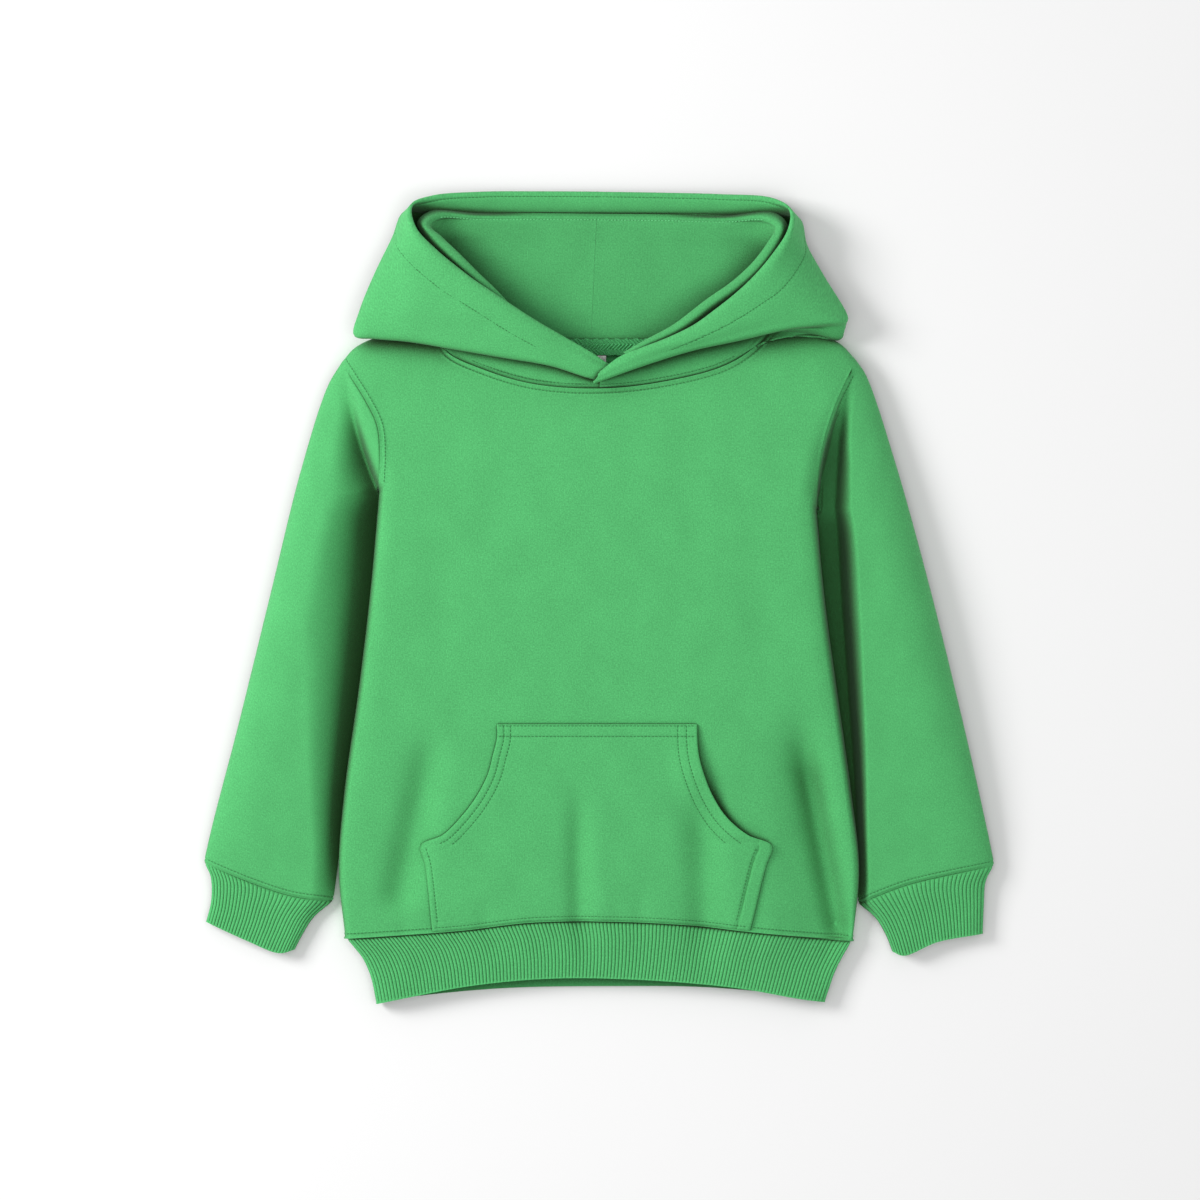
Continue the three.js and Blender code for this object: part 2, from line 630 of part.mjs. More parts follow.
// A flattened tube with ribs on its upper side and a plain inside.
function ribbedTube({ upper, lower, ribs, columns, rows, axis, facing }) {
  const ringPlaces = (count) => {
    const across = Array.from({ length: count + 1 }, (_, i) => i / count);
    const even = (t) => 0.5 - Math.asin(1 - 2 * t) / Math.PI;
    return across.map((t) => 0.5 - 0.5 * Math.cos(Math.PI * mix(t, even(t), RIB_EVENNESS)));
  };
  const topPlaces = ringPlaces(ribs * 2);
  const plainPlaces = ringPlaces(columns);
  const ring = (places, v) => [
    ...places.map((u) => upper(u, v)),
    ...plainPlaces.slice(1, -1).reverse().map((u) => lower(u, v)),
  ];
  const ringLabels = (places) => [...places, ...plainPlaces.slice(1, -1).reverse().map((u) => 2 - u), 2];
  const offset = (places, distanceOf) => {
    const grid = rows.map((v) => ring(places, v));
    const normals = gridNormals(grid, true);
    squareTo(normals, 0, axis);
    trimRow({ grid, normals, looped: true }, 0, 1);
    return grid.map((row, j) =>
      row.map((p, i) => p.clone().addScaledVector(normals[j][i], facing * distanceOf(i))),
    );
  };
  const solid = new Solid();
  const isGroove = (i) => i > 0 && i < topPlaces.length - 1 && i % 2 === 0;
  const outer = solid.sheet(offset(topPlaces, (i) => (isGroove(i) ? -RIB_DEPTH : 0)));
  const inner = solid.sheet(offset(plainPlaces, () => -RIB_WALL));
  solid.quads(outer, true, false);
  solid.quads(inner, true, true);
  const close = (row) => [...row, row[0]];
  const last = rows.length - 1;
  const labels = [ringLabels(topPlaces), ringLabels(plainPlaces)];
  solid.strip(close(inner[0]), labels[1], close(outer[0]), labels[0], false);
  solid.strip(close(inner[last]), labels[1], close(outer[last]), labels[0], true);
  return solid.geometry();
}

// Front and back panels
const hemSeam = route(HEM_SEAM);

function bodyEdge(side) {
  return joined([
    { line: side.lines.side, from: 0, to: UNDERARM_ROW },
    { line: side.lines.armhole, from: UNDERARM_ROW, to: 1 },
  ]);
}

function topEdge(neckLine) {
  return joined([
    { line: left.lines.shoulder, from: 0, to: NECK_CORNER },
    { line: neckLine, from: NECK_CORNER, to: 1 - NECK_CORNER },
    { line: reversed(right.lines.shoulder), from: 1 - NECK_CORNER, to: 1 },
  ]);
}

function bodyColumns() {
  const neckPlace = (i) => mix(NECK_CORNER, 1 - NECK_CORNER, i / NECK_STEPS);
  const middle = Array.from({ length: NECK_STEPS + 1 }, (_, i) => neckPlace(i));
  return [...SHOULDER_COLUMNS, ...middle, ...SHOULDER_COLUMNS.map((u) => 1 - u).reverse()];
}

const bodyRows = [
  ...Array.from({ length: SIDE_STEPS }, (_, i) => (UNDERARM_ROW * i) / SIDE_STEPS),
  ...ARMHOLE_PLACES.map((place) => mix(UNDERARM_ROW, 1, place)),
];

function bodyPanel(neckTable, height) {
  return panel({
    bottom: hemSeam,
    top: topEdge(route(neckTable)),
    start: bodyEdge(left),
    end: bodyEdge(right),
    columns: bodyColumns(),
    rows: bodyRows,
    height,
  });
}

const frontGrid = bodyPanel(FRONT_NECK, bodyTop);
const backGrid = bodyPanel(BACK_NECK, bodyUnder);
const front = { grid: frontGrid, normals: gridNormals(frontGrid), facing: 1, weight: 1 };
const back = { grid: backGrid, normals: gridNormals(backGrid), facing: -1, weight: 1 };

// Sleeves, each one ring of points after another from the armhole to the cuff seam
function sleevePiece(side) {
  const face = (height) =>
    panel({
      bottom: side.lines.armhole,
      top: side.lines.cuffSeam,
      start: side.lines.inner,
      end: side.lines.outer,
      columns: ARMHOLE_PLACES,
      rows: SLEEVE_ROWS,
      height,
    });
  const upper = face((x, y) => sleeveTop(side, x, y));
  const lower = face((x, y) => sleeveUnder(side, x, y));
  const grid = upper.map((row, j) => [...row, ...lower[j].slice(1, -1).reverse()]);
  return { grid, normals: gridNormals(grid, true), looped: true, facing: -side.sign, weight: 0.5 };
}

const sleeveLeft = sleevePiece(left);
const sleeveRight = sleevePiece(right);

sewTogether([front, back, sleeveLeft, sleeveRight]);

const DOWN = new THREE.Vector3(0, -1, 0);
const cuffAxis = (side) => side.lines.cuffEnd(0.5).sub(side.lines.cuffSeam(0.5)).normalize();

for (const piece of [front, back]) {
  const lastRow = piece.grid.length - 1;
  const lastColumn = piece.grid[0].length - 1;
  squareTo(piece.normals, 0, DOWN);
  trimRow(piece, 0, 1);
  trimRow(piece, lastRow, lastRow - 1);
  trimColumn(piece, 0, 1);
  trimColumn(piece, lastColumn, lastColumn - 1);
}
for (const [piece, side] of [[sleeveLeft, left], [sleeveRight, right]]) {
  const lastRow = piece.grid.length - 1;
  squareTo(piece.normals, lastRow, cuffAxis(side));
  trimRow(piece, 0, 1, ARMHOLE_GAP);
  trimRow(piece, lastRow, lastRow - 1);
}

// Cuffs
function cuffGeometry(side) {
  const face = (u, v) => {
    const point = panel({
      bottom: side.lines.cuffSeam,
      top: side.lines.cuffEnd,
      start: side.lines.cuffInner,
      end: side.lines.cuffOuter,
      columns: [u],
      rows: [v],
      height: () => 0,
    });
    return point[0][0];
  };
  const seamTop = (u) => {
    const p = side.lines.cuffSeam(u);
    return sleeveTop(side, p.x, p.y);
  };
  const edgeHeight = (u, v) => {
    const p = side.lines.cuffSeam(u);
    const seam = mix(lookUp(INNER_EDGE, p.y), lookUp(OUTER_EDGE, p.y), u);
    return mix(seam, CUFF_EDGE_AT_END, v);
  };
  const widthAt = (v) => face(0, v).distanceTo(face(1, v));
  const upper = (u, v) => {
    const p = face(u, v);
    const near = Math.min(u, 1 - u) * widthAt(v);
    const edge = edgeHeight(u, v);
    const atEnd = edge + (CUFF_HEIGHT_AT_END - edge) * quarterRound(near / CUFF_EDGE_AT_END / 2);
    p.z = mix(seamTop(u), atEnd, easeInOut(v * CUFF_SETTLE));
    return p;
  };
  const lower = (u, v) => {
    const p = face(u, v);
    const near = Math.min(u, 1 - u) * widthAt(v);
    const edge = edgeHeight(u, v);
    p.z = edge * (1 - quarterRound(near / edge));
    return p;
  };
  return ribbedTube({
    upper,
    lower,
    ribs: CUFF_RIBS,
    columns: 14,
    rows: [0, 0.33, 0.67, 1],
    axis: cuffAxis(side),
    facing: -side.sign,
  });
}

// Hem band
function hemGeometry() {
  const lines = {
    seam: hemSeam,
    start: route(HEM_LEFT),
    end: route(HEM_RIGHT),
    front: route(HEM_FRONT_END),
    back: route(HEM_BACK_END),
  };
  const face = (endLine, u, v) =>
    panel({
      bottom: lines.seam,
      top: endLine,
      start: lines.start,
      end: lines.end,
      columns: [u],
      rows: [v],
      height: () => 0,
    })[0][0];
  const widthAt = (v) => face(lines.front, 0, v).distanceTo(face(lines.front, 1, v));
  const sideDistance = (u, v) => Math.min(u, 1 - u) * widthAt(v);
  const upper = (u, v) => {
    const p = face(lines.front, u, v);
    const seamPoint = lines.seam(u);
    const edge = mix(lookUp(SIDE_EDGE, seamPoint.y), HEM_EDGE_AT_END, v);
    const atEnd = edge + (HEM_HEIGHT_AT_END - edge) * quarterRound(sideDistance(u, v) / BODY_ROUND);
    p.z = mix(bodyTop(seamPoint.x, seamPoint.y), atEnd, v);
    return p;
  };
  const lower = (u, v) => {
    const p = face(lines.back, u, v);
    const edge = mix(lookUp(SIDE_EDGE, lines.seam(u).y), HEM_EDGE_AT_END, v);
    p.z = edge * (1 - quarterRound(sideDistance(u, v) / edge));
    return p;
  };
  return ribbedTube({
    upper,
    lower,
    ribs: HEM_RIBS,
    columns: 24,
    rows: [0, 0.35, 0.7, 1],
    axis: DOWN,
    facing: -1,
  });
}

// Kangaroo pocket, made from the front panel's own heights, moved out
function pocketGeometry() {
  const grid = POCKET_ROWS.map(([y, leftX, rightX, lift]) =>
    POCKET_COLUMNS.map((u) => {
      const x = mix(leftX, rightX, u);
      const raised = POCKET_LIFT * lift * easeInOut((u - POCKET_LIFT_FROM) / (1 - POCKET_LIFT_FROM));
      return new THREE.Vector3(x, y, bodyTop(x, y) + POCKET_GAP + WALL + raised);
    }),
  );
  return wallOf({ grid, normals: gridNormals(grid) }, 0, WALL);
}

// The neck seam as the panels' own edge points, 0 at the centre back and 2 at the centre front.
function neckSeam(sign) {
  const edgeOf = (grid) => {
    const row = grid[grid.length - 1];
    const inner = row.slice(SHOULDER_COLUMNS.length, row.length - SHOULDER_COLUMNS.length);
    const ordered = sign < 0 ? inner : [...inner].reverse();
    return ordered.slice(0, (ordered.length + 1) / 2);
  };
  const backPart = edgeOf(backGrid).reverse();
  const frontPart = edgeOf(frontGrid);
  const read = (points, t) => {
    const place = clamp01(t) * (points.length - 1);
    const i = Math.min(points.length - 2, Math.floor(place));
    return points[i].clone().lerp(points[i + 1], place - i);
  };
  return (place) => (place <= 1 ? read(backPart, place) : read(frontPart, place - 1));
}

// Three points that carry a section round a fold with a radius.
const FOLD_SHARE = 0.4; // the most of the next stretch that a fold takes up
function foldPoints(before, at, after, radius) {
  const into = at.clone().sub(before).normalize();
  const outOf = after.clone().sub(at);
  const reach = Math.min(radius, outOf.length() * FOLD_SHARE);
  outOf.normalize();
  const turn = (1 - into.dot(outOf)) / 2;
  const lift = new THREE.Vector3(0, 0, radius * turn);
  return [
    at.clone().addScaledVector(into, -radius).sub(lift),
    at.clone(),
    at.clone().addScaledVector(outOf, reach).add(lift),
  ];
}

// Turns rows of section points into an even grid: across each section, then from section to section.
function loft(sections, acrossPlaces, stationSteps) {
  const across = sections.map((points) => {
    const curve = new THREE.CatmullRomCurve3(points, false, "centripetal");
    return acrossPlaces.map((t) => curve.getPoint(t / (points.length - 1)));
  });
  const columns = across[0].map((_, i) => {
    const curve = new THREE.CatmullRomCurve3(across.map((row) => row[i]), false, "centripetal");
    return Array.from({ length: stationSteps + 1 }, (_, k) => curve.getPoint(k / stationSteps));
  });
  return columns[0].map((_, k) => columns.map((column) => column[k]));
}

// Whether a place seen from above is over the front panel.
function overFront(x, y) {
  const corner = x < 0 ? -FRONT_NECK[0][0] : FRONT_NECK[FRONT_NECK.length - 1][0];
  if (Math.abs(x) < corner) return y < lookUp(FRONT_NECK, x) + (Math.abs(x) > STEEP_NECK ? 3 : -1);
  const line = shoulderPoints.find((p) => p.x >= x) ?? shoulderPoints[shoulderPoints.length - 1];
  return y < line.y + 1;
}

// Lifts a grid clear of the front panel where it lies over it.
function liftOffFront(grid, clearance) {
  for (const p of grid.flat()) {
    if (overFront(p.x, p.y)) p.z = Math.max(p.z, bodyTop(p.x, p.y) + clearance);
  }
}

// Hood outer panels
function hoodGeometry(table, sign) {
  const seam = neckSeam(sign);
  const sections = table.map(([neck, cx, cy, cz, fx, fy, fz, rx, ry, rz]) => {
    const base = seam(neck);
    const crease = new THREE.Vector3(cx, cy, cz);
    const fold = new THREE.Vector3(fx, fy, fz);
    const rim = new THREE.Vector3(rx, ry, rz);
    const start = base.clone().lerp(crease, HOOD_START / base.distanceTo(crease));
    const overCorner = Math.exp(-(((neck - 1) / CORNER_SPREAD) ** 2));
    start.y += CORNER_CLEAR * overCorner;
    const behind = Math.max(HALF_WALL + HOOD_ABOVE_SURFACE, base.z);
    start.z = (neck < 1 ? behind : base.z - HALF_WALL) + CORNER_CLEAR * overCorner;
    const rise = HOOD_BULGE * clamp01(fold.distanceTo(rim) / WIDE_HOOD);
    const bulge = (t) => {
      const p = fold.clone().lerp(rim, t);
      p.z += rise * Math.sin(Math.PI * t);
      return p;
    };
    const foldAt = foldPoints(crease, fold, bulge(BULGE_PLACES[0]), HOOD_FOLD_RADIUS);
    return [
      start,
      start.clone().lerp(crease, 0.5),
      ...foldPoints(start, crease, fold, HOOD_CREASE_RADIUS),
      crease.clone().lerp(fold, 0.5),
      ...foldAt,
      ...BULGE_PLACES.map(bulge),
      rim,
    ];
  });
  const grid = loft(sections, HOOD_PLACES, HOOD_STEPS);
  liftOffFront(grid, HALF_WALL + LAP_CLEAR);
  return wallOf({ grid, normals: gridNormals(grid) }, -HALF_WALL, HALF_WALL);
}

// Hood inner panels
function liningGeometry(table) {
  const sections = table.map(([nx, ny, nz, tx, ty, tz, lx, ly, lz, ex, ey, ez]) => {
    const start = new THREE.Vector3(nx, ny, nz);
    const turn = new THREE.Vector3(tx, ty, tz);
    const lip = new THREE.Vector3(lx, ly, lz);
    const end = new THREE.Vector3(ex, ey, ez);
    const middle = start.clone().lerp(turn, 0.5);
    const rise = turn.clone().lerp(lip, 0.5);
    return [start, middle, turn, rise, ...foldPoints(turn, lip, end, ROLL_RADIUS), end];
  });
  const grid = loft(sections, LINING_PLACES, LINING_STEPS);
  return wallOf({ grid, normals: gridNormals(grid) }, -HALF_WALL, HALF_WALL);
}

// Neck tape and label, two small flat pieces
function stripGeometry({ fromX, toX, lowY, highY, height, thickness, columns }) {
  const places = Array.from({ length: columns + 1 }, (_, i) => i / columns);
  const rowAt = (y) => places.map((t) => new THREE.Vector3(mix(fromX, toX, t), y, height));
  const grid = [rowAt(lowY), rowAt(highY)];
  return wallOf({ grid, normals: gridNormals(grid) }, 0, thickness);
}

// Finishes
const finish = (color, roughness) => new THREE.MeshStandardMaterial({ color, roughness, metalness: 0 });
const fleece = finish(0x52b96d, 0.92);
const rib = finish(0x4cae66, 0.95);
const labelWhite = finish(0xf2f2ee, 0.8);

function piece(name, geometry, material) {
  const mesh = new THREE.Mesh(geometry, material);
  mesh.name = name;
  return mesh;
}

const hoodie = new THREE.Group();
hoodie.add(
  piece("front", wallOf(front, -WALL, 0), fleece),
  piece("back", wallOf(back, -WALL, 0), fleece),
  piece("sleeve_left", wallOf(sleeveLeft, -WALL, 0), fleece),
  piece("sleeve_right", wallOf(sleeveRight, -WALL, 0), fleece),
  piece("cuff_left", cuffGeometry(left), rib),
  piece("cuff_right", cuffGeometry(right), rib),
  piece("hem_band", hemGeometry(), rib),
  piece("pocket", pocketGeometry(), fleece),
  piece("hood_left", hoodGeometry(HOOD_LEFT, -1), fleece),
  piece("hood_right", hoodGeometry(HOOD_RIGHT, 1), fleece),
  piece("hood_lining_left", liningGeometry(LINING_LEFT), fleece),
  piece("hood_lining_right", liningGeometry(LINING_RIGHT), fleece),
  piece("neck_tape", stripGeometry(TAPE), fleece),
  piece("neck_label", stripGeometry(LABEL), labelWhite),
);

// The origin is the middle of the garment's box in plan.
const centre = new THREE.Box3().setFromObject(hoodie).getCenter(new THREE.Vector3());
for (const mesh of hoodie.children) mesh.geometry.translate(-centre.x, -centre.y, 0);

export default hoodie;
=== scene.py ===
"""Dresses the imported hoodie: each cut piece again at a finer grid, with seams, stitches, ribs and cloth finishes."""

import math

import bpy
import numpy as np
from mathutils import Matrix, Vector


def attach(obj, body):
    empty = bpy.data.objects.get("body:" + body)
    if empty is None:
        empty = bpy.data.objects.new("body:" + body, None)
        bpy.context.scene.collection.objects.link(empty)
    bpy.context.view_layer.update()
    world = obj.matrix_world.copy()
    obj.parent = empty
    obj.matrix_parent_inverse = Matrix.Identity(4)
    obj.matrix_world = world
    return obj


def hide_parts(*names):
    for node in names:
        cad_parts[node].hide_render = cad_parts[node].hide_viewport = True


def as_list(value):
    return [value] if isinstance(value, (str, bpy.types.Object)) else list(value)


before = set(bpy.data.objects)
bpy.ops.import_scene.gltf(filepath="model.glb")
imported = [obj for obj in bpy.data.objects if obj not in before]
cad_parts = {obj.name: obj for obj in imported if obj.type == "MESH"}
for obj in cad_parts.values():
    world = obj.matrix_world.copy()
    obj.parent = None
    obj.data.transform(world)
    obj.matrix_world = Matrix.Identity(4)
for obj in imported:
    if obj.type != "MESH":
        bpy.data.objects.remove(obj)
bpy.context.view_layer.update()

MM = 0.001

# The solids' own sizes, in millimetres, +Z up from the surface, before the move to the frame's origin
CENTRE = np.array([0.84, 0.669, 0.0])
WALL = 2.0
SHOULDER_ROUND = 36.0
BODY_ROUND = 17.0
TIGHT_ROUND = 5.5
TIGHT_SHARE = 0.7
TIGHT_LOST_ABOVE = 0.3
LIP_RISE = 0.2
LIP_ROUND = 5.0
LIP_FADE = 30.0
APEX_Y = 176.0
FADE_Y = 98.0
UNDERARM_HEIGHT = 13.0
ROLL_SOFTNESS = 0.3
SOFT_ABOVE = 14.0
VALLEY_STEEP = 0.5

# Heights of the cloth's outer face, as y and height
BODY_HEIGHT = [
    (-262, 17), (-225, 22), (-150, 30), (-60, 37), (20, 41), (84, 41), (130, 36), (168, 29), (205, 24),
]
SLEEVE_HEIGHT = [
    (-235, 13), (-205, 18), (-160, 25), (-80, 31), (0, 34), (84, 31), (130, 28), (168, 26), (205, 22),
]
SIDE_EDGE = [(-262, 9), (-225, 11), (-180, 13), (84, 13), (205, 13)]
OUTER_EDGE = [(-235, 6.5), (-205, 8), (-160, 11), (-60, 13), (100, 13), (184, 12), (205, 12)]
INNER_EDGE = [(-235, 6.5), (-200, 6), (40, 5), (62, 7), (84, 13), (205, 13)]

# Outlines seen from above, as x and y
LEFT = {
    "sign": -1,
    "underarm": 84,
    "side": [(-195, -262), (-200, -210), (-195.4, -147), (-184.6, -70), (-175.4, 7), (-168.5, 84)],
    "armhole": [(-168.5, 84), (-167.5, 110), (-169.5, 133), (-179, 153), (-189, 169), (-197.7, 182.5)],
    "roll": [(-168.5, 84), (-178, 108), (-186.5, 138), (-193.5, 170)],
    "shoulder": [(-197.7, 182.5), (-187, 194), (-165, 203.5), (-127, 207.5)],
    "outer": [
        (-197.7, 182.5), (-208.5, 164), (-229.2, 99), (-253.8, -1), (-279.2, -104), (-297, -172),
        (-304.5, -204),
    ],
    "inner": [
        (-168.5, 84), (-170.8, 62), (-172.2, 38), (-175, 7), (-184, -70), (-194.6, -147),
        (-200.8, -205), (-204.6, -234),
    ],
    "cuff_seam": [(-204.6, -234), (-236.2, -229.5), (-267, -219.5), (-304.5, -204)],
    "cuff_outer": [(-304.5, -204), (-299.8, -214), (-299.2, -232), (-303.1, -249.2)],
    "cuff_inner": [(-204.6, -234), (-219, -246), (-227.5, -259), (-233.8, -270.8)],
    "cuff_end": [(-233.8, -270.8), (-246, -273.5), (-272, -263.5), (-303.1, -249.2)],
    "valley_from": [(-235, 0), (205, 0)],
    "valley": [
        (-235, 18), (-200, 20), (-139, 30), (-62, 42), (14, 50), (76, 40), (114, 24), (130, 18),
        (152, 11), (172, 7),
    ],
}
RIGHT = {
    "sign": 1,
    "underarm": 70,
    "side": [(196.5, -264), (201.5, -209), (195, -147), (184.2, -70), (174.8, 0), (168.2, 70)],
    "armhole": [(168.2, 70), (169, 97), (173.5, 123), (182, 149), (190.6, 168), (199.2, 184)],
    "roll": [(168.2, 70), (174, 104), (183, 138), (193, 170)],
    "shoulder": [(199.2, 184), (187, 196.5), (166, 206.5), (136, 210.5)],
    "outer": [
        (199.2, 184), (207, 172), (230, 103), (258.5, -1), (284.6, -108), (301, -181), (306.2, -206),
    ],
    "inner": [
        (168.2, 70), (170.6, 48), (172.4, 26), (175.4, -4), (183.6, -70), (194.2, -147),
        (200.4, -215), (200.8, -235.4),
    ],
    "cuff_seam": [(200.8, -235.4), (238, -221), (271, -213), (306.2, -206)],
    "cuff_outer": [(306.2, -206), (300, -218), (298.5, -238), (297.7, -258.5)],
    "cuff_inner": [(200.8, -235.4), (214, -247), (221.5, -259), (226.9, -272.3)],
    "cuff_end": [(226.9, -272.3), (236, -275.5), (262, -265), (297.7, -258.5)],
    "valley_from": [
        (-235, 0), (-200, 0), (-155, 3), (-78, 8), (-1, 12), (60, 13.5), (100, 10), (122, 6),
        (150, 2), (170, 0),
    ],
    "valley": [
        (-235, 9), (-200, 10), (-155, 13), (-78, 21), (-1, 27), (60, 28), (100, 22), (122, 16),
        (150, 10), (172, 7),
    ],
}
HEM_SEAM = [
    (-195, -262), (-171, -260.5), (-104, -255.5), (-53, -249.5), (2, -248.5), (63, -251),
    (125, -257.5), (196.5, -264),
]
HEM_LEFT = [(-195, -262), (-189, -269), (-182, -278), (-176, -292), (-171.5, -313)]
HEM_RIGHT = [(196.5, -264), (191, -273.5), (184, -287), (179, -301), (175.5, -311.5)]
HEM_FRONT_END = [
    (-171.5, -313), (-153, -309), (-97, -298.5), (-36, -293), (29, -293.8), (105, -300),
    (150, -307.7), (175.5, -311.5),
]
HEM_BACK_END = [
    (-171.5, -313), (-150, -308.5), (-75, -301), (17, -299.3), (84, -300.2), (150, -306.5),
    (175.5, -311.5),
]
FRONT_NECK = [
    (-127, 207.5), (-116, 189.5), (-88, 176), (-50, 165), (0, 161.5), (46, 166), (96, 178.5),
    (120, 193), (136, 210.5),
]
BACK_NECK = [(-127, 207.5), (-72, 197.5), (0, 195), (76, 198.5), (136, 210.5)]
NECK_CORNER = 0.187
UNDERARM_ROW = 0.75

# The front's folds, each a soft trough or, with a depth below zero, a ridge: from x, y, to x, y, half width, depth
FOLDS = [
    (152, -85, 190, -275, 10.5, 12), (148, -80, 174, -285, 21, 7.6), (-121.5, -90, -157.5, -250, 14, 8),
    (-15, -130, -14, -290, 9, 5),
    (80, -120, 84, -290, 14, 7.2), (4, -195, 4, -290, 8, -0.8), (32, -210, 33, -290, 7, 1.1),
    (-86, -222, -88, -290, 8, 1.5), (118, 40, 138, -60, 20, 1.6), (-112, 60, -128, -40, 20, 1.4),
    (-150, -236, -152, -290, 5, 0.8), (-118, -232, -120, -290, 6, -0.7), (-52, -234, -53, -290, 6, 0.8),
    (46, -236, 47, -290, 5, -0.6), (96, -232, 99, -290, 6, 0.9), (133, -236, 137, -290, 6, -0.8),
    (-60, 118, -96, 40, 16, 0.9), (52, 112, 84, 30, 16, 0.9),
]
FOLD_START = 60.0
FOLD_START_SHARE = 0.45
FOLD_END = 26.0

# Hem band and cuffs
HEM_HEIGHT_AT_END = 15.0
HEM_EDGE_AT_END = 7.5
CUFF_HEIGHT_AT_END = 12.0
CUFF_EDGE_AT_END = 5.5
CUFF_SETTLE = 1.4
RIB_DEPTH = 0.8
RIB_WALL = 2.2
HEM_RIBS = 132
CUFF_RIBS = 30

# Kangaroo pocket: y, left x, right x, lift of the right edge
POCKET_GAP = 0.8
POCKET_LIFT = 5.5
POCKET_LIFT_FROM = 0.82
POCKET_ROWS = [
    (-96.3, -77.7, 76.4, 0), (-107, -77.7, 76.4, 0.3), (-120, -80.8, 77.5, 0.7), (-135, -84.8, 81.5, 1),
    (-152, -93.5, 88.5, 1), (-168, -105.6, 99, 0.8), (-181.5, -119.3, 115, 0.6), (-190.5, -136.9, 134, 0.3),
    (-204, -133.6, 130, 0), (-227, -130, 122.6, 0), (-246, -127.6, 116.8, 0),
]

# Hood outer panels: neck place, then crease, fold and rim as x, y, z
HOOD_FOLD_RADIUS = 4.0
HOOD_CREASE_RADIUS = 2.8
HOOD_BULGE = 5.0
WIDE_HOOD = 60.0
BULGE_PLACES = (0.35, 0.7)
CORNER_SPREAD = 0.16
HOOD_START = 0.3
HOOD_ABOVE_SURFACE = 0.1
CORNER_CLEAR = 3.4
LAP_CLEAR = 1.6
LIFT_RUN = 4.0
FOLD_SHARE = 0.4
HOOD_LEFT = [
    (0.0, 0, 245, 1.1, 0, 298, 3.5, 0, 313.3, 10),
    (0.3, -45, 245, 1.1, -46, 298, 3.5, -46, 313.5, 10.5),
    (0.55, -90, 246, 1.1, -91, 298, 4.5, -92, 313, 13),
    (0.74, -118, 248, 1.1, -126, 297, 8, -128, 309.8, 19),
    (0.86, -134, 246, 1.3, -149, 298, 12, -143.5, 302.5, 29),
    (0.92, -142, 237, 2, -158, 278, 16, -140.5, 285, 38),
    (0.96, -147, 226, 6, -172, 249, 19, -124, 267, 43),
    (1.0, -152, 215, 12, -183.5, 220, 22, -109, 254.5, 45),
    (1.05, -152, 208, 18, -187, 203, 25, -96, 244.5, 46),
    (1.13, -138, 205, 22, -172, 200.8, 28, -84, 236.5, 46),
    (1.25, -114, 204, 24.5, -145, 198.3, 30.5, -69, 226.5, 46),
    (1.42, -86, 202, 27, -108, 192, 34, -48, 213, 44.5),
    (1.6, -58, 195, 28.5, -72, 185.8, 36, -26, 200.3, 42.5),
    (1.8, -29, 183, 29.5, -36, 179.6, 37, -5.5, 188.6, 39.5),
    (1.95, -6, 172, 30, -9, 171, 36.5, 7.5, 180, 37.5),
    (2.04, 3, 170, 30, 1, 168.5, 36.5, 16, 176.5, 37),
]
HOOD_RIGHT = [
    (0.0, 0, 245, 1.1, 0, 298, 3.5, 0, 313.3, 10),
    (0.3, 45, 246, 1.1, 46, 298, 3.5, 46, 312.6, 10.5),
    (0.55, 90, 247, 1.1, 94, 297, 4.5, 96, 311.2, 13),
    (0.74, 118, 248, 1.1, 132, 295, 8, 134, 308.2, 19),
    (0.86, 136, 246, 1.3, 154.5, 293, 12, 148, 299, 29),
    (0.92, 144, 237, 2, 160.5, 272, 16, 146.5, 283, 38),
    (0.96, 149, 224, 5, 173, 249, 19, 133, 262, 43),
    (1.0, 188, 204.5, 11, 191.5, 216.5, 25, 118, 244.8, 45),
    (1.05, 186, 200.5, 13, 189, 213.5, 29, 104, 232, 46),
    (1.13, 162, 205, 21, 172, 211, 31, 90, 221, 46.5),
    (1.25, 126, 207, 24.5, 147, 208, 33, 74, 209.5, 47),
    (1.42, 92, 205, 27.5, 110, 199.5, 36, 54, 199.7, 46.5),
    (1.6, 62, 196, 30, 72, 191.2, 38.5, 34, 192, 45.5),
    (1.8, 29, 184, 33, 36, 180, 41, 17, 185, 43.5),
    (2.02, 2, 171.5, 36.5, -3.5, 165.8, 42, 1.8, 173.6, 43.2),
]

# Hood inner panels: start, turn, lip and end as x, y, z
ROLL_CREST = 0.6
ROLL_DROP = 2.6
LINING_LEFT = [
    (-5.5, 199, 3.4, -2.2, 272, 5, -1, 291.8, 7.2, -0.8, 296.8, 5.2),
    (-45, 200, 3.6, -48, 272, 5, -49, 292.2, 7.4, -50, 297.2, 5.4),
    (-80, 203, 5.6, -88, 272, 5.5, -92, 292.2, 11, -94, 297, 6),
    (-97, 206, 7.5, -114, 270, 7.5, -120, 293, 19, -127, 299, 14),
    (-104, 208, 9.5, -126, 262, 9.5, -129.5, 286, 31, -138.5, 289, 26),
    (-109, 209, 11.5, -136, 251, 12, -121, 277.8, 34.5, -132, 277, 31),
    (-110, 208, 13, -137, 237, 14.5, -106.5, 264, 36.5, -118, 260, 32.5),
    (-105, 206, 15, -127, 224, 19, -91.5, 249, 37, -101, 241.5, 33.5),
    (-92, 203, 17, -104, 214, 23, -76.5, 234.5, 36.8, -85, 226, 33.5),
    (-72, 199, 20, -80, 206, 26, -58, 213.5, 34, -66, 207, 32),
]
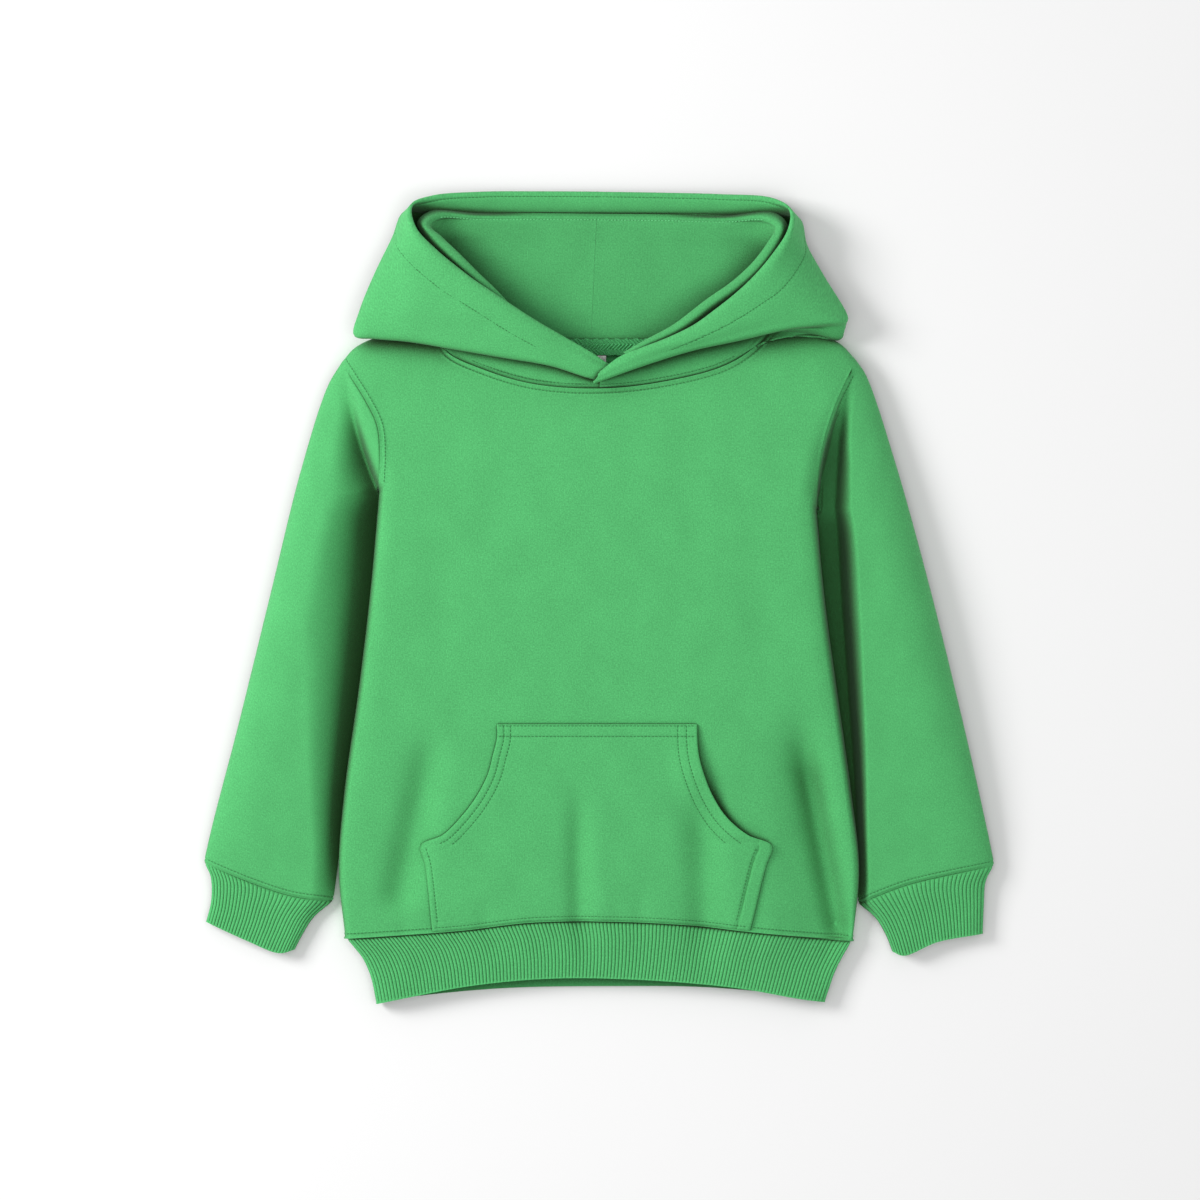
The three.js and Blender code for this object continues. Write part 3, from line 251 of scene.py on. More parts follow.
LINING_RIGHT = [
    (-5.5, 199, 3.4, -2.2, 272, 5, -1, 291.8, 7.2, -0.8, 296.8, 5.2),
    (45, 200.5, 4, 48, 271, 5, 52, 291.2, 7.4, 53, 296.2, 5.4),
    (80, 204, 6, 90, 270, 5.5, 97, 290.2, 11, 99, 295, 6),
    (99, 208, 8, 118, 268, 7.5, 127, 290.8, 20, 134, 297.5, 15),
    (107, 209, 9.5, 132, 260, 9.5, 137, 284, 31, 145.5, 287, 26),
    (112, 209, 11, 141, 249, 12, 131.5, 274, 34, 142.5, 271, 31),
    (114, 208, 12.5, 143, 236, 14, 120, 258.6, 36.5, 131, 252, 32.5),
    (110, 206, 14, 134, 223, 18, 104, 243.6, 37.5, 112.5, 235.5, 33.5),
    (97, 203, 17, 112, 213, 23, 84, 229.5, 38.5, 91, 221.5, 34.5),
    (77, 199, 20, 90, 209, 24, 58, 209.7, 38.8, 65, 202, 35),
    (56, 195, 22, 66, 202, 25, 36, 197.8, 38.8, 41, 191.5, 35.5),
    (40, 191.5, 25, 46, 195, 27, 20, 188.6, 38.3, 25, 184, 36),
]
TAPE = {"from_x": -50, "to_x": 60, "low_y": 188.3, "high_y": 200.4, "height": 5.0, "thickness": 1.2}
LABEL = {"from_x": -16, "to_x": 6.2, "low_y": 163, "high_y": 187.6, "height": 2.4, "thickness": 1.0}


def clamp01(t):
    return np.clip(t, 0.0, 1.0)


def ease(t):
    s = clamp01(t)
    return s * s * (3 - 2 * s)


def quarter_round(t):
    return np.sqrt(1 - (1 - clamp01(t)) ** 2)


def soft_round(t, soft):
    """A quarter round that starts at a slope instead of straight up."""
    return (np.sqrt(1 - (1 - clamp01(t)) ** 2 + soft**2) - soft) / (np.sqrt(1 + soft**2) - soft)


def read(rows, place):
    """Reads a table of (place, value) rows with a smooth cubic between the rows."""
    table = np.asarray(rows, float)[:, :2]
    xs, ys = table[:, 0], table[:, 1]
    slopes = np.empty(len(xs))
    slopes[1:-1] = (ys[2:] - ys[:-2]) / (xs[2:] - xs[:-2])
    slopes[0] = (ys[1] - ys[0]) / (xs[1] - xs[0])
    slopes[-1] = (ys[-1] - ys[-2]) / (xs[-1] - xs[-2])
    at = np.clip(np.asarray(place, float), xs[0], xs[-1])
    i = np.clip(np.searchsorted(xs, at, side="right") - 1, 0, len(xs) - 2)
    span = xs[i + 1] - xs[i]
    t = (at - xs[i]) / span
    t2, t3 = t * t, t * t * t
    return (
        (2 * t3 - 3 * t2 + 1) * ys[i]
        + (t3 - 2 * t2 + t) * span * slopes[i]
        + (3 * t2 - 2 * t3) * ys[i + 1]
        + (t3 - t2) * span * slopes[i + 1]
    )


def catmull(points, places):
    """Centripetal Catmull-Rom through points (n, ..., 3), read at fractional point numbers."""
    p = np.asarray(points, float)
    n = len(p)
    padded = np.concatenate([[2 * p[0] - p[1]], p, [2 * p[-1] - p[-2]]])
    at = np.clip(np.asarray(places, float), 0, n - 1)
    i = np.minimum(at.astype(int), n - 2)
    t = (at - i).reshape((-1,) + (1,) * (p.ndim - 1))
    a, b, c, d = padded[i], padded[i + 1], padded[i + 2], padded[i + 3]

    def step(u, v):
        return np.sqrt(np.linalg.norm(v - u, axis=-1, keepdims=True))

    mid = step(b, c)
    mid = np.where(mid < 1e-4, 1.0, mid)
    first = step(a, b)
    first = np.where(first < 1e-4, mid, first)
    last = step(c, d)
    last = np.where(last < 1e-4, mid, last)
    into = ((b - a) / first - (c - a) / (first + mid) + (c - b) / mid) * mid
    out = ((c - b) / mid - (d - b) / (mid + last) + (d - c) / last) * mid
    t2, t3 = t * t, t * t * t
    return (2 * t3 - 3 * t2 + 1) * b + (t3 - 2 * t2 + t) * into + (3 * t2 - 2 * t3) * c + (t3 - t2) * out


class Route:
    """A smooth line through a table's points, read by the fraction of its length."""

    def __init__(self, points, flipped=False):
        p = np.array([tuple(q) + (0.0,) * (3 - len(q)) for q in points], float)
        dense = catmull(p, np.linspace(0, len(p) - 1, 40 * (len(p) - 1) + 1))
        if flipped:
            dense = dense[::-1]
        steps = np.linalg.norm(np.diff(dense, axis=0), axis=1)
        self.places = np.concatenate([[0], np.cumsum(steps)])
        self.length = self.places[-1]
        self.dense = dense

    def __call__(self, t):
        at = clamp01(np.asarray(t, float)) * self.length
        return np.stack([np.interp(at, self.places, self.dense[:, k]) for k in range(3)], axis=-1)

    def samples(self, steps=60):
        return self(np.linspace(0, 1, steps + 1))


def joined(parts):
    """One line made of several, each over its own stretch of the fraction: (line, from, to)."""

    def line(t):
        at = np.asarray(t, float)
        result = np.empty(at.shape + (3,))
        done = np.zeros(at.shape, bool)
        for part, low, high in parts:
            inside = ~done & (at <= high + 1e-9)
            result[inside] = part((at[inside] - low) / (high - low))
            done |= inside
        return result

    return line


def distance_to(samples, x, y):
    """The distance in plan from many points to a sampled line."""
    px, py = np.ravel(x), np.ravel(y)
    best = np.full(px.shape, np.inf)
    for a, b in zip(samples[:-1], samples[1:]):
        dx, dy = b[0] - a[0], b[1] - a[1]
        square = dx * dx + dy * dy
        if square == 0:
            continue
        t = np.clip(((px - a[0]) * dx + (py - a[1]) * dy) / square, 0, 1)
        gap = (px - a[0] - t * dx) ** 2 + (py - a[1] - t * dy) ** 2
        np.minimum(best, gap, out=best)
    return np.sqrt(best).reshape(np.shape(x))


def side_lines(table):
    side = dict(table)
    for key in ("side", "armhole", "shoulder", "outer", "inner", "cuff_seam", "cuff_outer", "cuff_inner", "cuff_end"):
        side[key] = Route(table[key])
    side["roll_points"] = Route(table["roll"]).samples(24)
    side["outer_points"] = side["outer"].samples()
    side["side_points"] = side["side"].samples()
    side["inner_points"] = side["inner"].samples()
    side["body_edge_points"] = np.concatenate([side["side_points"], side["roll_points"]])
    side["sleeve_edge_points"] = np.concatenate([side["inner_points"][::-1], side["roll_points"]])
    return side


left = side_lines(LEFT)
right = side_lines(RIGHT)
shoulder_points = np.concatenate([left["shoulder"].samples(30), right["shoulder"].samples(30)[::-1]])


def dome(heights, y, edge):
    rim = read(OUTER_EDGE, y)
    return rim + (read(heights, y) - rim) * quarter_round(edge / SHOULDER_ROUND)


def valley_foot(y, edge):
    low = np.minimum(read(BODY_HEIGHT, y), read(SLEEVE_HEIGHT, y))
    rim = read(OUTER_EDGE, y)
    is_open = rim + (low - rim) * quarter_round(edge / SHOULDER_ROUND)
    strength = 1 - ease((y - FADE_Y) / (APEX_Y - FADE_Y))
    return is_open + (np.minimum(is_open, UNDERARM_HEIGHT) - is_open) * strength


def fold_depth(x, y):
    total = np.zeros(np.shape(x))
    for ax, ay, bx, by, width, depth in FOLDS:
        length = math.hypot(bx - ax, by - ay)
        along = ((x - ax) * (bx - ax) + (y - ay) * (by - ay)) / length
        across = ((x - ax) * (by - ay) - (y - ay) * (bx - ax)) / length
        fade = ease(along / min(FOLD_START, FOLD_START_SHARE * length)) * ease((length - along) / FOLD_END)
        total = total + depth * fade * np.exp(-((across / width) ** 2))
    return total


def edge_distance(side, x, y):
    return np.minimum(distance_to(side["outer_points"], x, y), distance_to(shoulder_points, x, y))


def body_top(x, y):
    """The height of the front panel's outer face."""
    x, y = np.asarray(x, float), np.asarray(y, float)
    result = np.empty(x.shape)
    for side, mine in ((left, x < 0), (right, x >= 0)):
        if not mine.any():
            continue
        sx, sy = x[mine], y[mine]
        edge = edge_distance(side, sx, sy)
        top = dome(BODY_HEIGHT, sy, edge) - fold_depth(sx, sy)
        foot = np.where(sy <= side["underarm"], read(SIDE_EDGE, sy), valley_foot(sy, edge))
        roll = distance_to(side["body_edge_points"], sx, sy)
        above = ease((sy - side["underarm"]) / SOFT_ABOVE)
        tight = TIGHT_SHARE * (1 - TIGHT_LOST_ABOVE * above)
        wide_part = soft_round(roll / BODY_ROUND, ROLL_SOFTNESS * above)
        share = (1 - tight) * wide_part + tight * quarter_round(roll / TIGHT_ROUND)
        result[mine] = foot + (top - foot) * share
    return result


def sleeve_top(side, x, y):
    x, y = np.asarray(x, float), np.asarray(y, float)
    above = y > side["underarm"]
    roll = side["roll_points"]
    roll_x = np.interp(y, roll[:, 1], roll[:, 0])
    as_body = above & ((y > APEX_Y) | (side["sign"] * (x - roll_x) <= 0))
    edge = edge_distance(side, x, y)
    top = dome(SLEEVE_HEIGHT, y, edge)
    near = distance_to(side["sleeve_edge_points"], x, y)
    foot = np.where(above, valley_foot(y, edge), read(INNER_EDGE, y + left["underarm"] - side["underarm"]))
    rise = LIP_RISE * clamp01((side["underarm"] - y) / LIP_FADE)
    lip = np.minimum(top, foot + rise * quarter_round(near / LIP_ROUND))
    start = read(side["valley_from"], y)
    across = clamp01((near - start) / (read(side["valley"], y) - start))
    steep = VALLEY_STEEP if side["sign"] < 0 else 0.0
    own = lip + (top - lip) * ((1 - steep) * ease(across) + steep * (1 - (1 - across) ** 2))
    return np.where(as_body, body_top(x, y), own)


def rounded_up(heights, samples, x, y):
    height = read(heights, y)
    return height * (1 - quarter_round(distance_to(samples, x, y) / height))


def body_under(x, y):
    sides = [(left, x < 0), (right, x >= 0)]
    result = rounded_up(OUTER_EDGE, shoulder_points, x, y)
    for side, mine in sides:
        own = np.maximum(
            rounded_up(SIDE_EDGE, side["side_points"], x, y),
            rounded_up(OUTER_EDGE, side["outer_points"], x, y),
        )
        result = np.where(mine, np.maximum(result, own), result)
    return result


def sleeve_under(side, x, y):
    inner_edge = [(row_y - left["underarm"] + side["underarm"], height) for row_y, height in INNER_EDGE]
    return np.maximum.reduce([
        rounded_up(inner_edge, side["inner_points"], x, y),
        rounded_up(OUTER_EDGE, shoulder_points, x, y),
        rounded_up(OUTER_EDGE, side["outer_points"], x, y),
    ])


def panel(bottom, top, start, end, columns, rows):
    """A grid of plan points inside four boundary lines."""
    u, v = np.asarray(columns)[None, :, None], np.asarray(rows)[:, None, None]
    low, high = bottom(columns)[None], top(columns)[None]
    first, last = start(rows)[:, None], end(rows)[:, None]
    a, b = bottom(np.array([0.0]))[0], bottom(np.array([1.0]))[0]
    c, d = top(np.array([0.0]))[0], top(np.array([1.0]))[0]
    corners = (a * (1 - u) + b * u) * (1 - v) + (c * (1 - u) + d * u) * v
    return low * (1 - v) + high * v + first * (1 - u) + last * u - corners


def graded(length, coarse, fine=0.6, reach=8.0, at_start=True, at_end=True):
    """Fractions of a length, with fine steps near its ends and coarse ones between."""
    near = np.arange(0, reach, fine)
    low = near if at_start else np.array([0.0])
    high = length - near[::-1] if at_end else np.array([length])
    middle = np.linspace(low[-1], high[0], max(2, int((high[0] - low[-1]) / coarse)))
    return np.concatenate([low[:-1], middle, high[1:]]) / length


def grid_normals(grid, looped=False):
    if looped:
        across = np.roll(grid, -1, axis=1) - np.roll(grid, 1, axis=1)
    else:
        across = np.gradient(grid, axis=1)
    along = np.gradient(grid, axis=0)
    normals = np.cross(across, along)
    return normals / np.maximum(np.linalg.norm(normals, axis=-1, keepdims=True), 1e-9)


class Mesh:
    """Collects points, faces and cloth coordinates of one closed piece."""

    def __init__(self):
        self.points, self.cloth, self.faces = [], [], []
        self.count = 0

    def sheet(self, grid, cloth):
        flat = grid.reshape(-1, 3)
        self.points.append(flat)
        self.cloth.append(np.broadcast_to(cloth, grid.shape[:2] + (2,)).reshape(-1, 2))
        numbers = np.arange(len(flat)).reshape(grid.shape[:2]) + self.count
        self.count += len(flat)
        return numbers

    def quads(self, numbers, looped=False, turned=False):
        if looped:
            numbers = np.concatenate([numbers, numbers[:, :1]], axis=1)
        a, b, c, d = numbers[:-1, :-1], numbers[:-1, 1:], numbers[1:, 1:], numbers[1:, :-1]
        faces = np.stack([a, b, c, d], axis=-1).reshape(-1, 4)
        self.faces += (faces[:, ::-1] if turned else faces).tolist()

    def strip(self, row_a, places_a, row_b, places_b, turned=False):
        a = b = 0
        while a < len(row_a) - 1 or b < len(row_b) - 1:
            take_a = b >= len(row_b) - 1 or (a < len(row_a) - 1 and places_a[a + 1] <= places_b[b + 1] + 1e-9)
            if take_a and b < len(row_b) - 1 and a < len(row_a) - 1 and abs(places_a[a + 1] - places_b[b + 1]) < 1e-9:
                face = [row_a[a], row_a[a + 1], row_b[b + 1], row_b[b]]
                a, b = a + 1, b + 1
            elif take_a:
                face = [row_a[a], row_a[a + 1], row_b[b]]
                a += 1
            else:
                face = [row_a[a], row_b[b + 1], row_b[b]]
                b += 1
            self.faces.append([int(k) for k in (face[::-1] if turned else face)])

    def make(self, name, material, sharp=50.0):
        points = np.concatenate(self.points)
        cloth = np.concatenate(self.cloth)
        volume = 0.0
        for face in self.faces:
            a = points[face[0]]
            for k in range(1, len(face) - 1):
                volume += np.dot(a, np.cross(points[face[k]], points[face[k + 1]]))
        faces = self.faces if volume > 0 else [face[::-1] for face in self.faces]
        data = bpy.data.meshes.new(name)
        data.from_pydata(((points - CENTRE) * MM).tolist(), [], faces)
        layer = data.uv_layers.new(name="cloth")
        loops = np.empty(len(data.loops), np.int32)
        data.loops.foreach_get("vertex_index", loops)
        layer.data.foreach_set("uv", (cloth[loops] * MM).astype(np.float32).ravel())
        data.polygons.foreach_set("use_smooth", [True] * len(data.polygons))
        data.set_sharp_from_angle(angle=math.radians(sharp))
        data.materials.append(material)
        data.update()
        piece = bpy.data.objects.new(name, data)
        bpy.context.collection.objects.link(piece)
        return piece


def level_line(grid, field, level, places, back=False):
    """Where a field first passes a level down each of a grid's columns, as a line of points."""
    points = []
    for j in places:
        values, line = field[:, j], grid[:, j]
        if back:
            values, line = values[::-1], line[::-1]
        passed = np.nonzero((values[:-1] < level) & (values[1:] >= level))[0]
        if len(passed) == 0:
            continue
        i = passed[0]
        t = (level - values[i]) / (values[i + 1] - values[i])
        points.append(line[i] * (1 - t) + line[i + 1] * t)
    return np.array(points)


STITCH_PITCH = 2.8
STITCH_LENGTH = 1.95
STITCH_RADIUS = 0.3
STITCH_LIFT = 0.08
STITCH_SIDES = 6


def stitches(name, lines, material, pitch=STITCH_PITCH, radius=STITCH_RADIUS, below=False):
    """One mesh of short thread bars, half sunk into the cloth along each line."""
    starts, ends = [], []
    for line in lines:
        steps = np.linalg.norm(np.diff(line, axis=0), axis=1)
        places = np.concatenate([[0], np.cumsum(steps)])
        middles = np.arange(pitch / 2, places[-1] - pitch / 2, pitch)
        for bars, shift in ((starts, -STITCH_LENGTH / 2), (ends, STITCH_LENGTH / 2)):
            at = middles + shift
            bars.append(np.stack([np.interp(at, places, line[:, k]) for k in range(3)], axis=-1))
    low, high = np.concatenate(starts), np.concatenate(ends)
    ahead = high - low
    ahead = ahead / np.linalg.norm(ahead, axis=1, keepdims=True)
    side = np.cross([0.0, 0.0, 1.0], ahead)
    side = side / np.maximum(np.linalg.norm(side, axis=1, keepdims=True), 1e-6)
    up = np.cross(ahead, side)
    lift = STITCH_LIFT * (-1 if below else 1)
    turns = np.linspace(0, 2 * math.pi, STITCH_SIDES, endpoint=False)
    rings = []
    for t, share in ((0.0, 0.45), (0.2, 1.0), (0.8, 1.0), (1.0, 0.45)):
        middle = low * (1 - t) + high * t + up * lift
        ring = [middle + radius * share * (side * math.cos(a) + up * math.sin(a)) for a in turns]
        rings.append(np.stack(ring, axis=1))
    bars = np.stack(rings, axis=1)
    count, layers, sides = bars.shape[:3]
    numbers = np.arange(count * layers * sides).reshape(count, layers, sides)
    turned = np.roll(numbers, -1, axis=2)
    quads = np.stack([numbers[:, :-1], turned[:, :-1], turned[:, 1:], numbers[:, 1:]], axis=-1)
    faces = quads.reshape(-1, 4).tolist()
    faces += numbers[:, 0, ::-1].tolist() + numbers[:, -1].tolist()
    points = bars.reshape(-1, 3)
    data = bpy.data.meshes.new(name)
    data.from_pydata(((points - CENTRE) * MM).tolist(), [], faces)
    layer = data.uv_layers.new(name="cloth")
    loops = np.empty(len(data.loops), np.int32)
    data.loops.foreach_get("vertex_index", loops)
    layer.data.foreach_set("uv", (points[loops, :2] * MM).astype(np.float32).ravel())
    data.polygons.foreach_set("use_smooth", [True] * len(data.polygons))
    data.materials.append(material)
    data.update()
    piece = bpy.data.objects.new(name, data)
    bpy.context.collection.objects.link(piece)
    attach(piece, "root")
    return piece


def every(count, step):
    """Every step-th number below count, with the last one always in."""
    picked = list(range(0, count, step))
    if picked[-1] != count - 1:
        picked.append(count - 1)
    return np.array(picked)


def shell(name, outer, normals, material, cloth, thickness=WALL, looped=False, skip=4, offsets=(0.0, None)):
    """A closed wall of cloth: the outer grid at its full count and the inner one coarser."""
    low = -thickness if offsets[1] is None else offsets[0]
    high = 0.0 if offsets[1] is None else offsets[1]
    mesh = Mesh()
    face = outer + normals * high
    rows = every(outer.shape[0], skip)
    columns = np.arange(0, outer.shape[1], skip) if looped else every(outer.shape[1], skip)
    back = (outer + normals * low)[np.ix_(rows, columns)]
    a = mesh.sheet(face, cloth)
    b = mesh.sheet(back, cloth[np.ix_(rows, columns)])
    mesh.quads(a, looped)
    mesh.quads(b, looped, turned=True)
    across_a, across_b = np.arange(outer.shape[1]), columns
    if looped:
        across_a = np.append(across_a, outer.shape[1])
        across_b = np.append(across_b, outer.shape[1])

    def close(row):
        return np.append(row, row[0]) if looped else row

    mesh.strip(close(b[0]), across_b, close(a[0]), across_a)
    mesh.strip(close(b[-1]), across_b, close(a[-1]), across_a, turned=True)
    if not looped:
        along = np.arange(outer.shape[0])
        mesh.strip(b[:, 0], rows, a[:, 0], along, turned=True)
        mesh.strip(b[:, -1], rows, a[:, -1], along)
    return mesh.make(name, material)


# Finishes
def node_tree(name):
    material = bpy.data.materials.new(name)
    material.use_nodes = True
    nodes = material.node_tree.nodes
    return material, nodes, material.node_tree.links, nodes["Principled BSDF"]


# Painted shade, darker where cloth lies close opposite: how far the cloth looks for cloth opposite it, the dark colour
# the base colour is multiplied towards in folds and gaps, and between which occlusion shares
PAINTED_SHADE_REACH = 40.0
PAINTED_SHADE_TINT = (0.16, 0.12, 0.07)
PAINTED_SHADE_SPAN = (0.41, 0.89)


def cloth_finish(name, dark, light, wale=1.05, relief=0.35, sheen=0.22, rough=0.9, painted_shade=True):
    """Jersey or rib: fine wales along the cloth, a soft nap, slight mottling, and, unless turned off, painted shade
    that darkens the colour in folds and narrow gaps.
    """
    material, nodes, links, shader = node_tree(name)
    place = nodes.new("ShaderNodeUVMap")
    place.uv_map = "cloth"

    def noise(across, along, detail=2.0, rough_detail=0.5):
        """Noise whose grain is across by along, in millimetres."""
        mapping = nodes.new("ShaderNodeMapping")
        mapping.inputs["Scale"].default_value = (1 / (across * MM), 1 / (along * MM), 1.0)
        texture = nodes.new("ShaderNodeTexNoise")
        texture.inputs["Scale"].default_value = 1.0
        texture.inputs["Detail"].default_value = detail
        texture.inputs["Roughness"].default_value = rough_detail
        links.new(place.outputs["UV"], mapping.inputs["Vector"])
        links.new(mapping.outputs["Vector"], texture.inputs["Vector"])
        return texture.outputs["Fac"]

    def ramp(source, low, high, at=(0.3, 0.7), kind="LINEAR"):
        node = nodes.new("ShaderNodeValToRGB")
        node.color_ramp.interpolation = kind
        node.color_ramp.elements[0].position, node.color_ramp.elements[1].position = at
        node.color_ramp.elements[0].color = (*low, 1)
        node.color_ramp.elements[1].color = (*high, 1)
        links.new(source, node.inputs["Fac"])
        return node.outputs["Color"]

    def mixed(kind, factor, a, b):
        node = nodes.new("ShaderNodeMix")
        node.data_type = "RGBA"
        node.blend_type = kind
        node.inputs["Factor"].default_value = factor
        links.new(a, node.inputs["A"])
        links.new(b, node.inputs["B"])
        return node.outputs["Result"]

    streaks = noise(wale, 5.0, 3.0, 0.65)
    grain = noise(1.0, 1.25, 2.0, 0.7)
    patches = noise(24.0, 34.0, 2.0, 0.5)
    base = ramp(streaks, dark, light, (0.2, 0.8))
    base = mixed("MULTIPLY", 1.0, base, ramp(grain, (0.78, 0.78, 0.78), (1.18, 1.18, 1.18)))
    base = mixed("MULTIPLY", 1.0, base, ramp(patches, (0.95, 0.95, 0.95), (1.03, 1.03, 1.03)))
    # Painted shade: the base colour is multiplied towards a dark tint where ambient occlusion finds cloth close by
    if painted_shade:
        closeness = nodes.new("ShaderNodeAmbientOcclusion")
        closeness.samples = 6
        closeness.inputs["Distance"].default_value = PAINTED_SHADE_REACH * MM
        shade = ramp(closeness.outputs["AO"], PAINTED_SHADE_TINT, (1, 1, 1), PAINTED_SHADE_SPAN, "EASE")
        base = mixed("MULTIPLY", 1.0, base, shade)
    links.new(base, shader.inputs["Base Color"])

    def bump(height, distance, strength, before=None):
        node = nodes.new("ShaderNodeBump")
        node.inputs["Distance"].default_value = distance * MM
        node.inputs["Strength"].default_value = strength
        links.new(height, node.inputs["Height"])
        if before is not None:
            links.new(before, node.inputs["Normal"])
        return node.outputs["Normal"]

    normal = bump(streaks, 0.35, relief)
    normal = bump(grain, 0.25, relief, normal)
    links.new(normal, shader.inputs["Normal"])
    shader.inputs["Roughness"].default_value = rough
    shader.inputs["Sheen Weight"].default_value = sheen
    shader.inputs["Sheen Roughness"].default_value = 0.55
    shader.inputs["Sheen Tint"].default_value = (0.55, 0.95, 0.62, 1)
    shader.inputs["Specular IOR Level"].default_value = 0.2
    return material


# Fleece, rib and lining carry the painted shade in folds and gaps; the other finishes don't
FLEECE = cloth_finish("fleece", (0.078, 0.43, 0.135), (0.1, 0.52, 0.17))
BACK_FLEECE = cloth_finish("back_fleece", (0.078, 0.43, 0.135), (0.1, 0.52, 0.17), painted_shade=False)
RIB = cloth_finish("rib", (0.08, 0.46, 0.145), (0.105, 0.55, 0.18), wale=0.9, relief=0.3)
LINING = cloth_finish("lining", (0.07, 0.385, 0.122), (0.09, 0.465, 0.152))
THREAD = cloth_finish("thread", (0.035, 0.22, 0.065), (0.05, 0.28, 0.085), wale=0.3, relief=0.15, painted_shade=False)
# The ridge's thread is drawn much lighter than the other thread: a painted highlight along the lining's ridge
RIDGE_THREAD_PAINTED_HIGHLIGHT = cloth_finish("ridge_thread_painted_highlight", (0.12, 0.56, 0.2), (0.16, 0.64, 0.26), wale=0.3, relief=0.15, painted_shade=False)
TAPE_CLOTH = cloth_finish("tape", (0.075, 0.42, 0.14), (0.1, 0.5, 0.18), wale=0.7, painted_shade=False)
LABEL_CLOTH = cloth_finish("label", (0.93, 0.94, 0.9), (0.97, 0.97, 0.95), wale=0.4, relief=0.15, sheen=0.1, painted_shade=False)


# Body panels
hem_seam = Route(HEM_SEAM)
BODY_WIDTH = 385.0
BODY_LENGTH = 470.0
body_columns = graded(BODY_WIDTH, 1.9)
body_rows = graded(BODY_LENGTH, 2.0)


def body_edge(side):
    return joined([(side["side"], 0, UNDERARM_ROW), (side["armhole"], UNDERARM_ROW, 1)])


def top_edge(neck):
    flipped = Route(RIGHT["shoulder"], flipped=True)
    return joined([
        (left["shoulder"], 0, NECK_CORNER),
        (neck, NECK_CORNER, 1 - NECK_CORNER),
        (flipped, 1 - NECK_CORNER, 1),
    ])


def body_panel(neck_table, columns, rows, height):
    plan = panel(hem_seam, top_edge(Route(neck_table)), body_edge(left), body_edge(right), columns, rows)
    plan[..., 2] = height(plan[..., 0], plan[..., 1])
    return plan


def cloth_of(columns, rows, width, length):
    u, v = np.meshgrid(columns * width, rows * length)
    return np.stack([u, v], axis=-1)


def edge_steps(columns, rows, width, length):
    """Distances from each of a grid's four edges, in millimetres."""
    u, v = np.meshgrid(columns * width, rows * length)
    return u, width - u, v, length - v


def groove(distance, width=1.6, depth=1.0):
    return depth * np.exp(-((distance / width) ** 2))


# Seams: how wide and deep each dips, and how far its rows of stitches lie from it
SEAM_WIDTH = 1.5
SEAM_DEPTH = 1.2
ARMHOLE_WIDTH = 1.0
ARMHOLE_DEPTH = 0.55
ARMHOLE_FADE = 9.0
ARMHOLE_BARE = 4.0
ROW_WIDTH = 0.75
ROW_DEPTH = 0.42
NECK_ROW = 3.6
HEM_ROW = 3.6
CUFF_ROW = 3.6
ARMHOLE_ROWS_LEFT = (4.0,)
ARMHOLE_ROW_RIGHT = 3.8
EDGE_CLEAR = 7.0
CORNER_COLUMNS = 3


def seam_sink(distance, rows, width=SEAM_WIDTH, depth=SEAM_DEPTH):
    """How far cloth sinks at a seam and under the rows of stitches beside it."""
    return groove(distance, width, depth) + sum(groove(distance - row, ROW_WIDTH, ROW_DEPTH) for row in rows)


def armhole_fade(to_edge):
    """The armhole's grooves run out before the garment's outer edge."""
    return ease((to_edge - ARMHOLE_BARE) / ARMHOLE_FADE)


neck_front = Route(FRONT_NECK)
neck_back = Route(BACK_NECK)
neck_points = neck_front.samples(120)
hem_points = hem_seam.samples(120)
armhole_left = left["armhole"].samples(60)
armhole_right = right["armhole"].samples(60)

front_grid = body_panel(FRONT_NECK, body_columns, body_rows, body_top)
to_neck = distance_to(neck_points, front_grid[..., 0], front_grid[..., 1])
to_hem = distance_to(hem_points, front_grid[..., 0], front_grid[..., 1])
to_armhole_left = distance_to(armhole_left, front_grid[..., 0], front_grid[..., 1])
to_armhole_right = distance_to(armhole_right, front_grid[..., 0], front_grid[..., 1])
to_shoulder = np.where(
    front_grid[..., 0] < 0,
    edge_distance(left, front_grid[..., 0], front_grid[..., 1]),
    edge_distance(right, front_grid[..., 0], front_grid[..., 1]),
)
front_sink = (
    seam_sink(to_neck, [NECK_ROW])
    + seam_sink(to_hem, [HEM_ROW])
    + seam_sink(to_armhole_left, ARMHOLE_ROWS_LEFT, ARMHOLE_WIDTH, ARMHOLE_DEPTH) * armhole_fade(to_shoulder)
    + seam_sink(to_armhole_right, [], ARMHOLE_WIDTH, ARMHOLE_DEPTH) * armhole_fade(to_shoulder)
)
front_grid = front_grid - grid_normals(front_grid) * -front_sink[..., None]
front_cloth = front_grid[..., :2].copy()
front = shell("front_cloth", front_grid, grid_normals(front_grid), FLEECE, front_cloth)

shown_columns = range(CORNER_COLUMNS, len(body_columns) - CORNER_COLUMNS)
neck_columns = [j for j in shown_columns if NECK_CORNER < body_columns[j] < 1 - NECK_CORNER]
armhole_rows = [i for i in range(len(body_rows)) if body_rows[i] > UNDERARM_ROW]
sideways = front_grid.transpose(1, 0, 2)
front_rows = [
    level_line(front_grid, to_neck, NECK_ROW, neck_columns, back=True),
    level_line(front_grid, to_hem, HEM_ROW, shown_columns),
    *[level_line(sideways, to_armhole_left.T, row, armhole_rows) for row in ARMHOLE_ROWS_LEFT],
]
stitches("body_stitches", front_rows, THREAD)

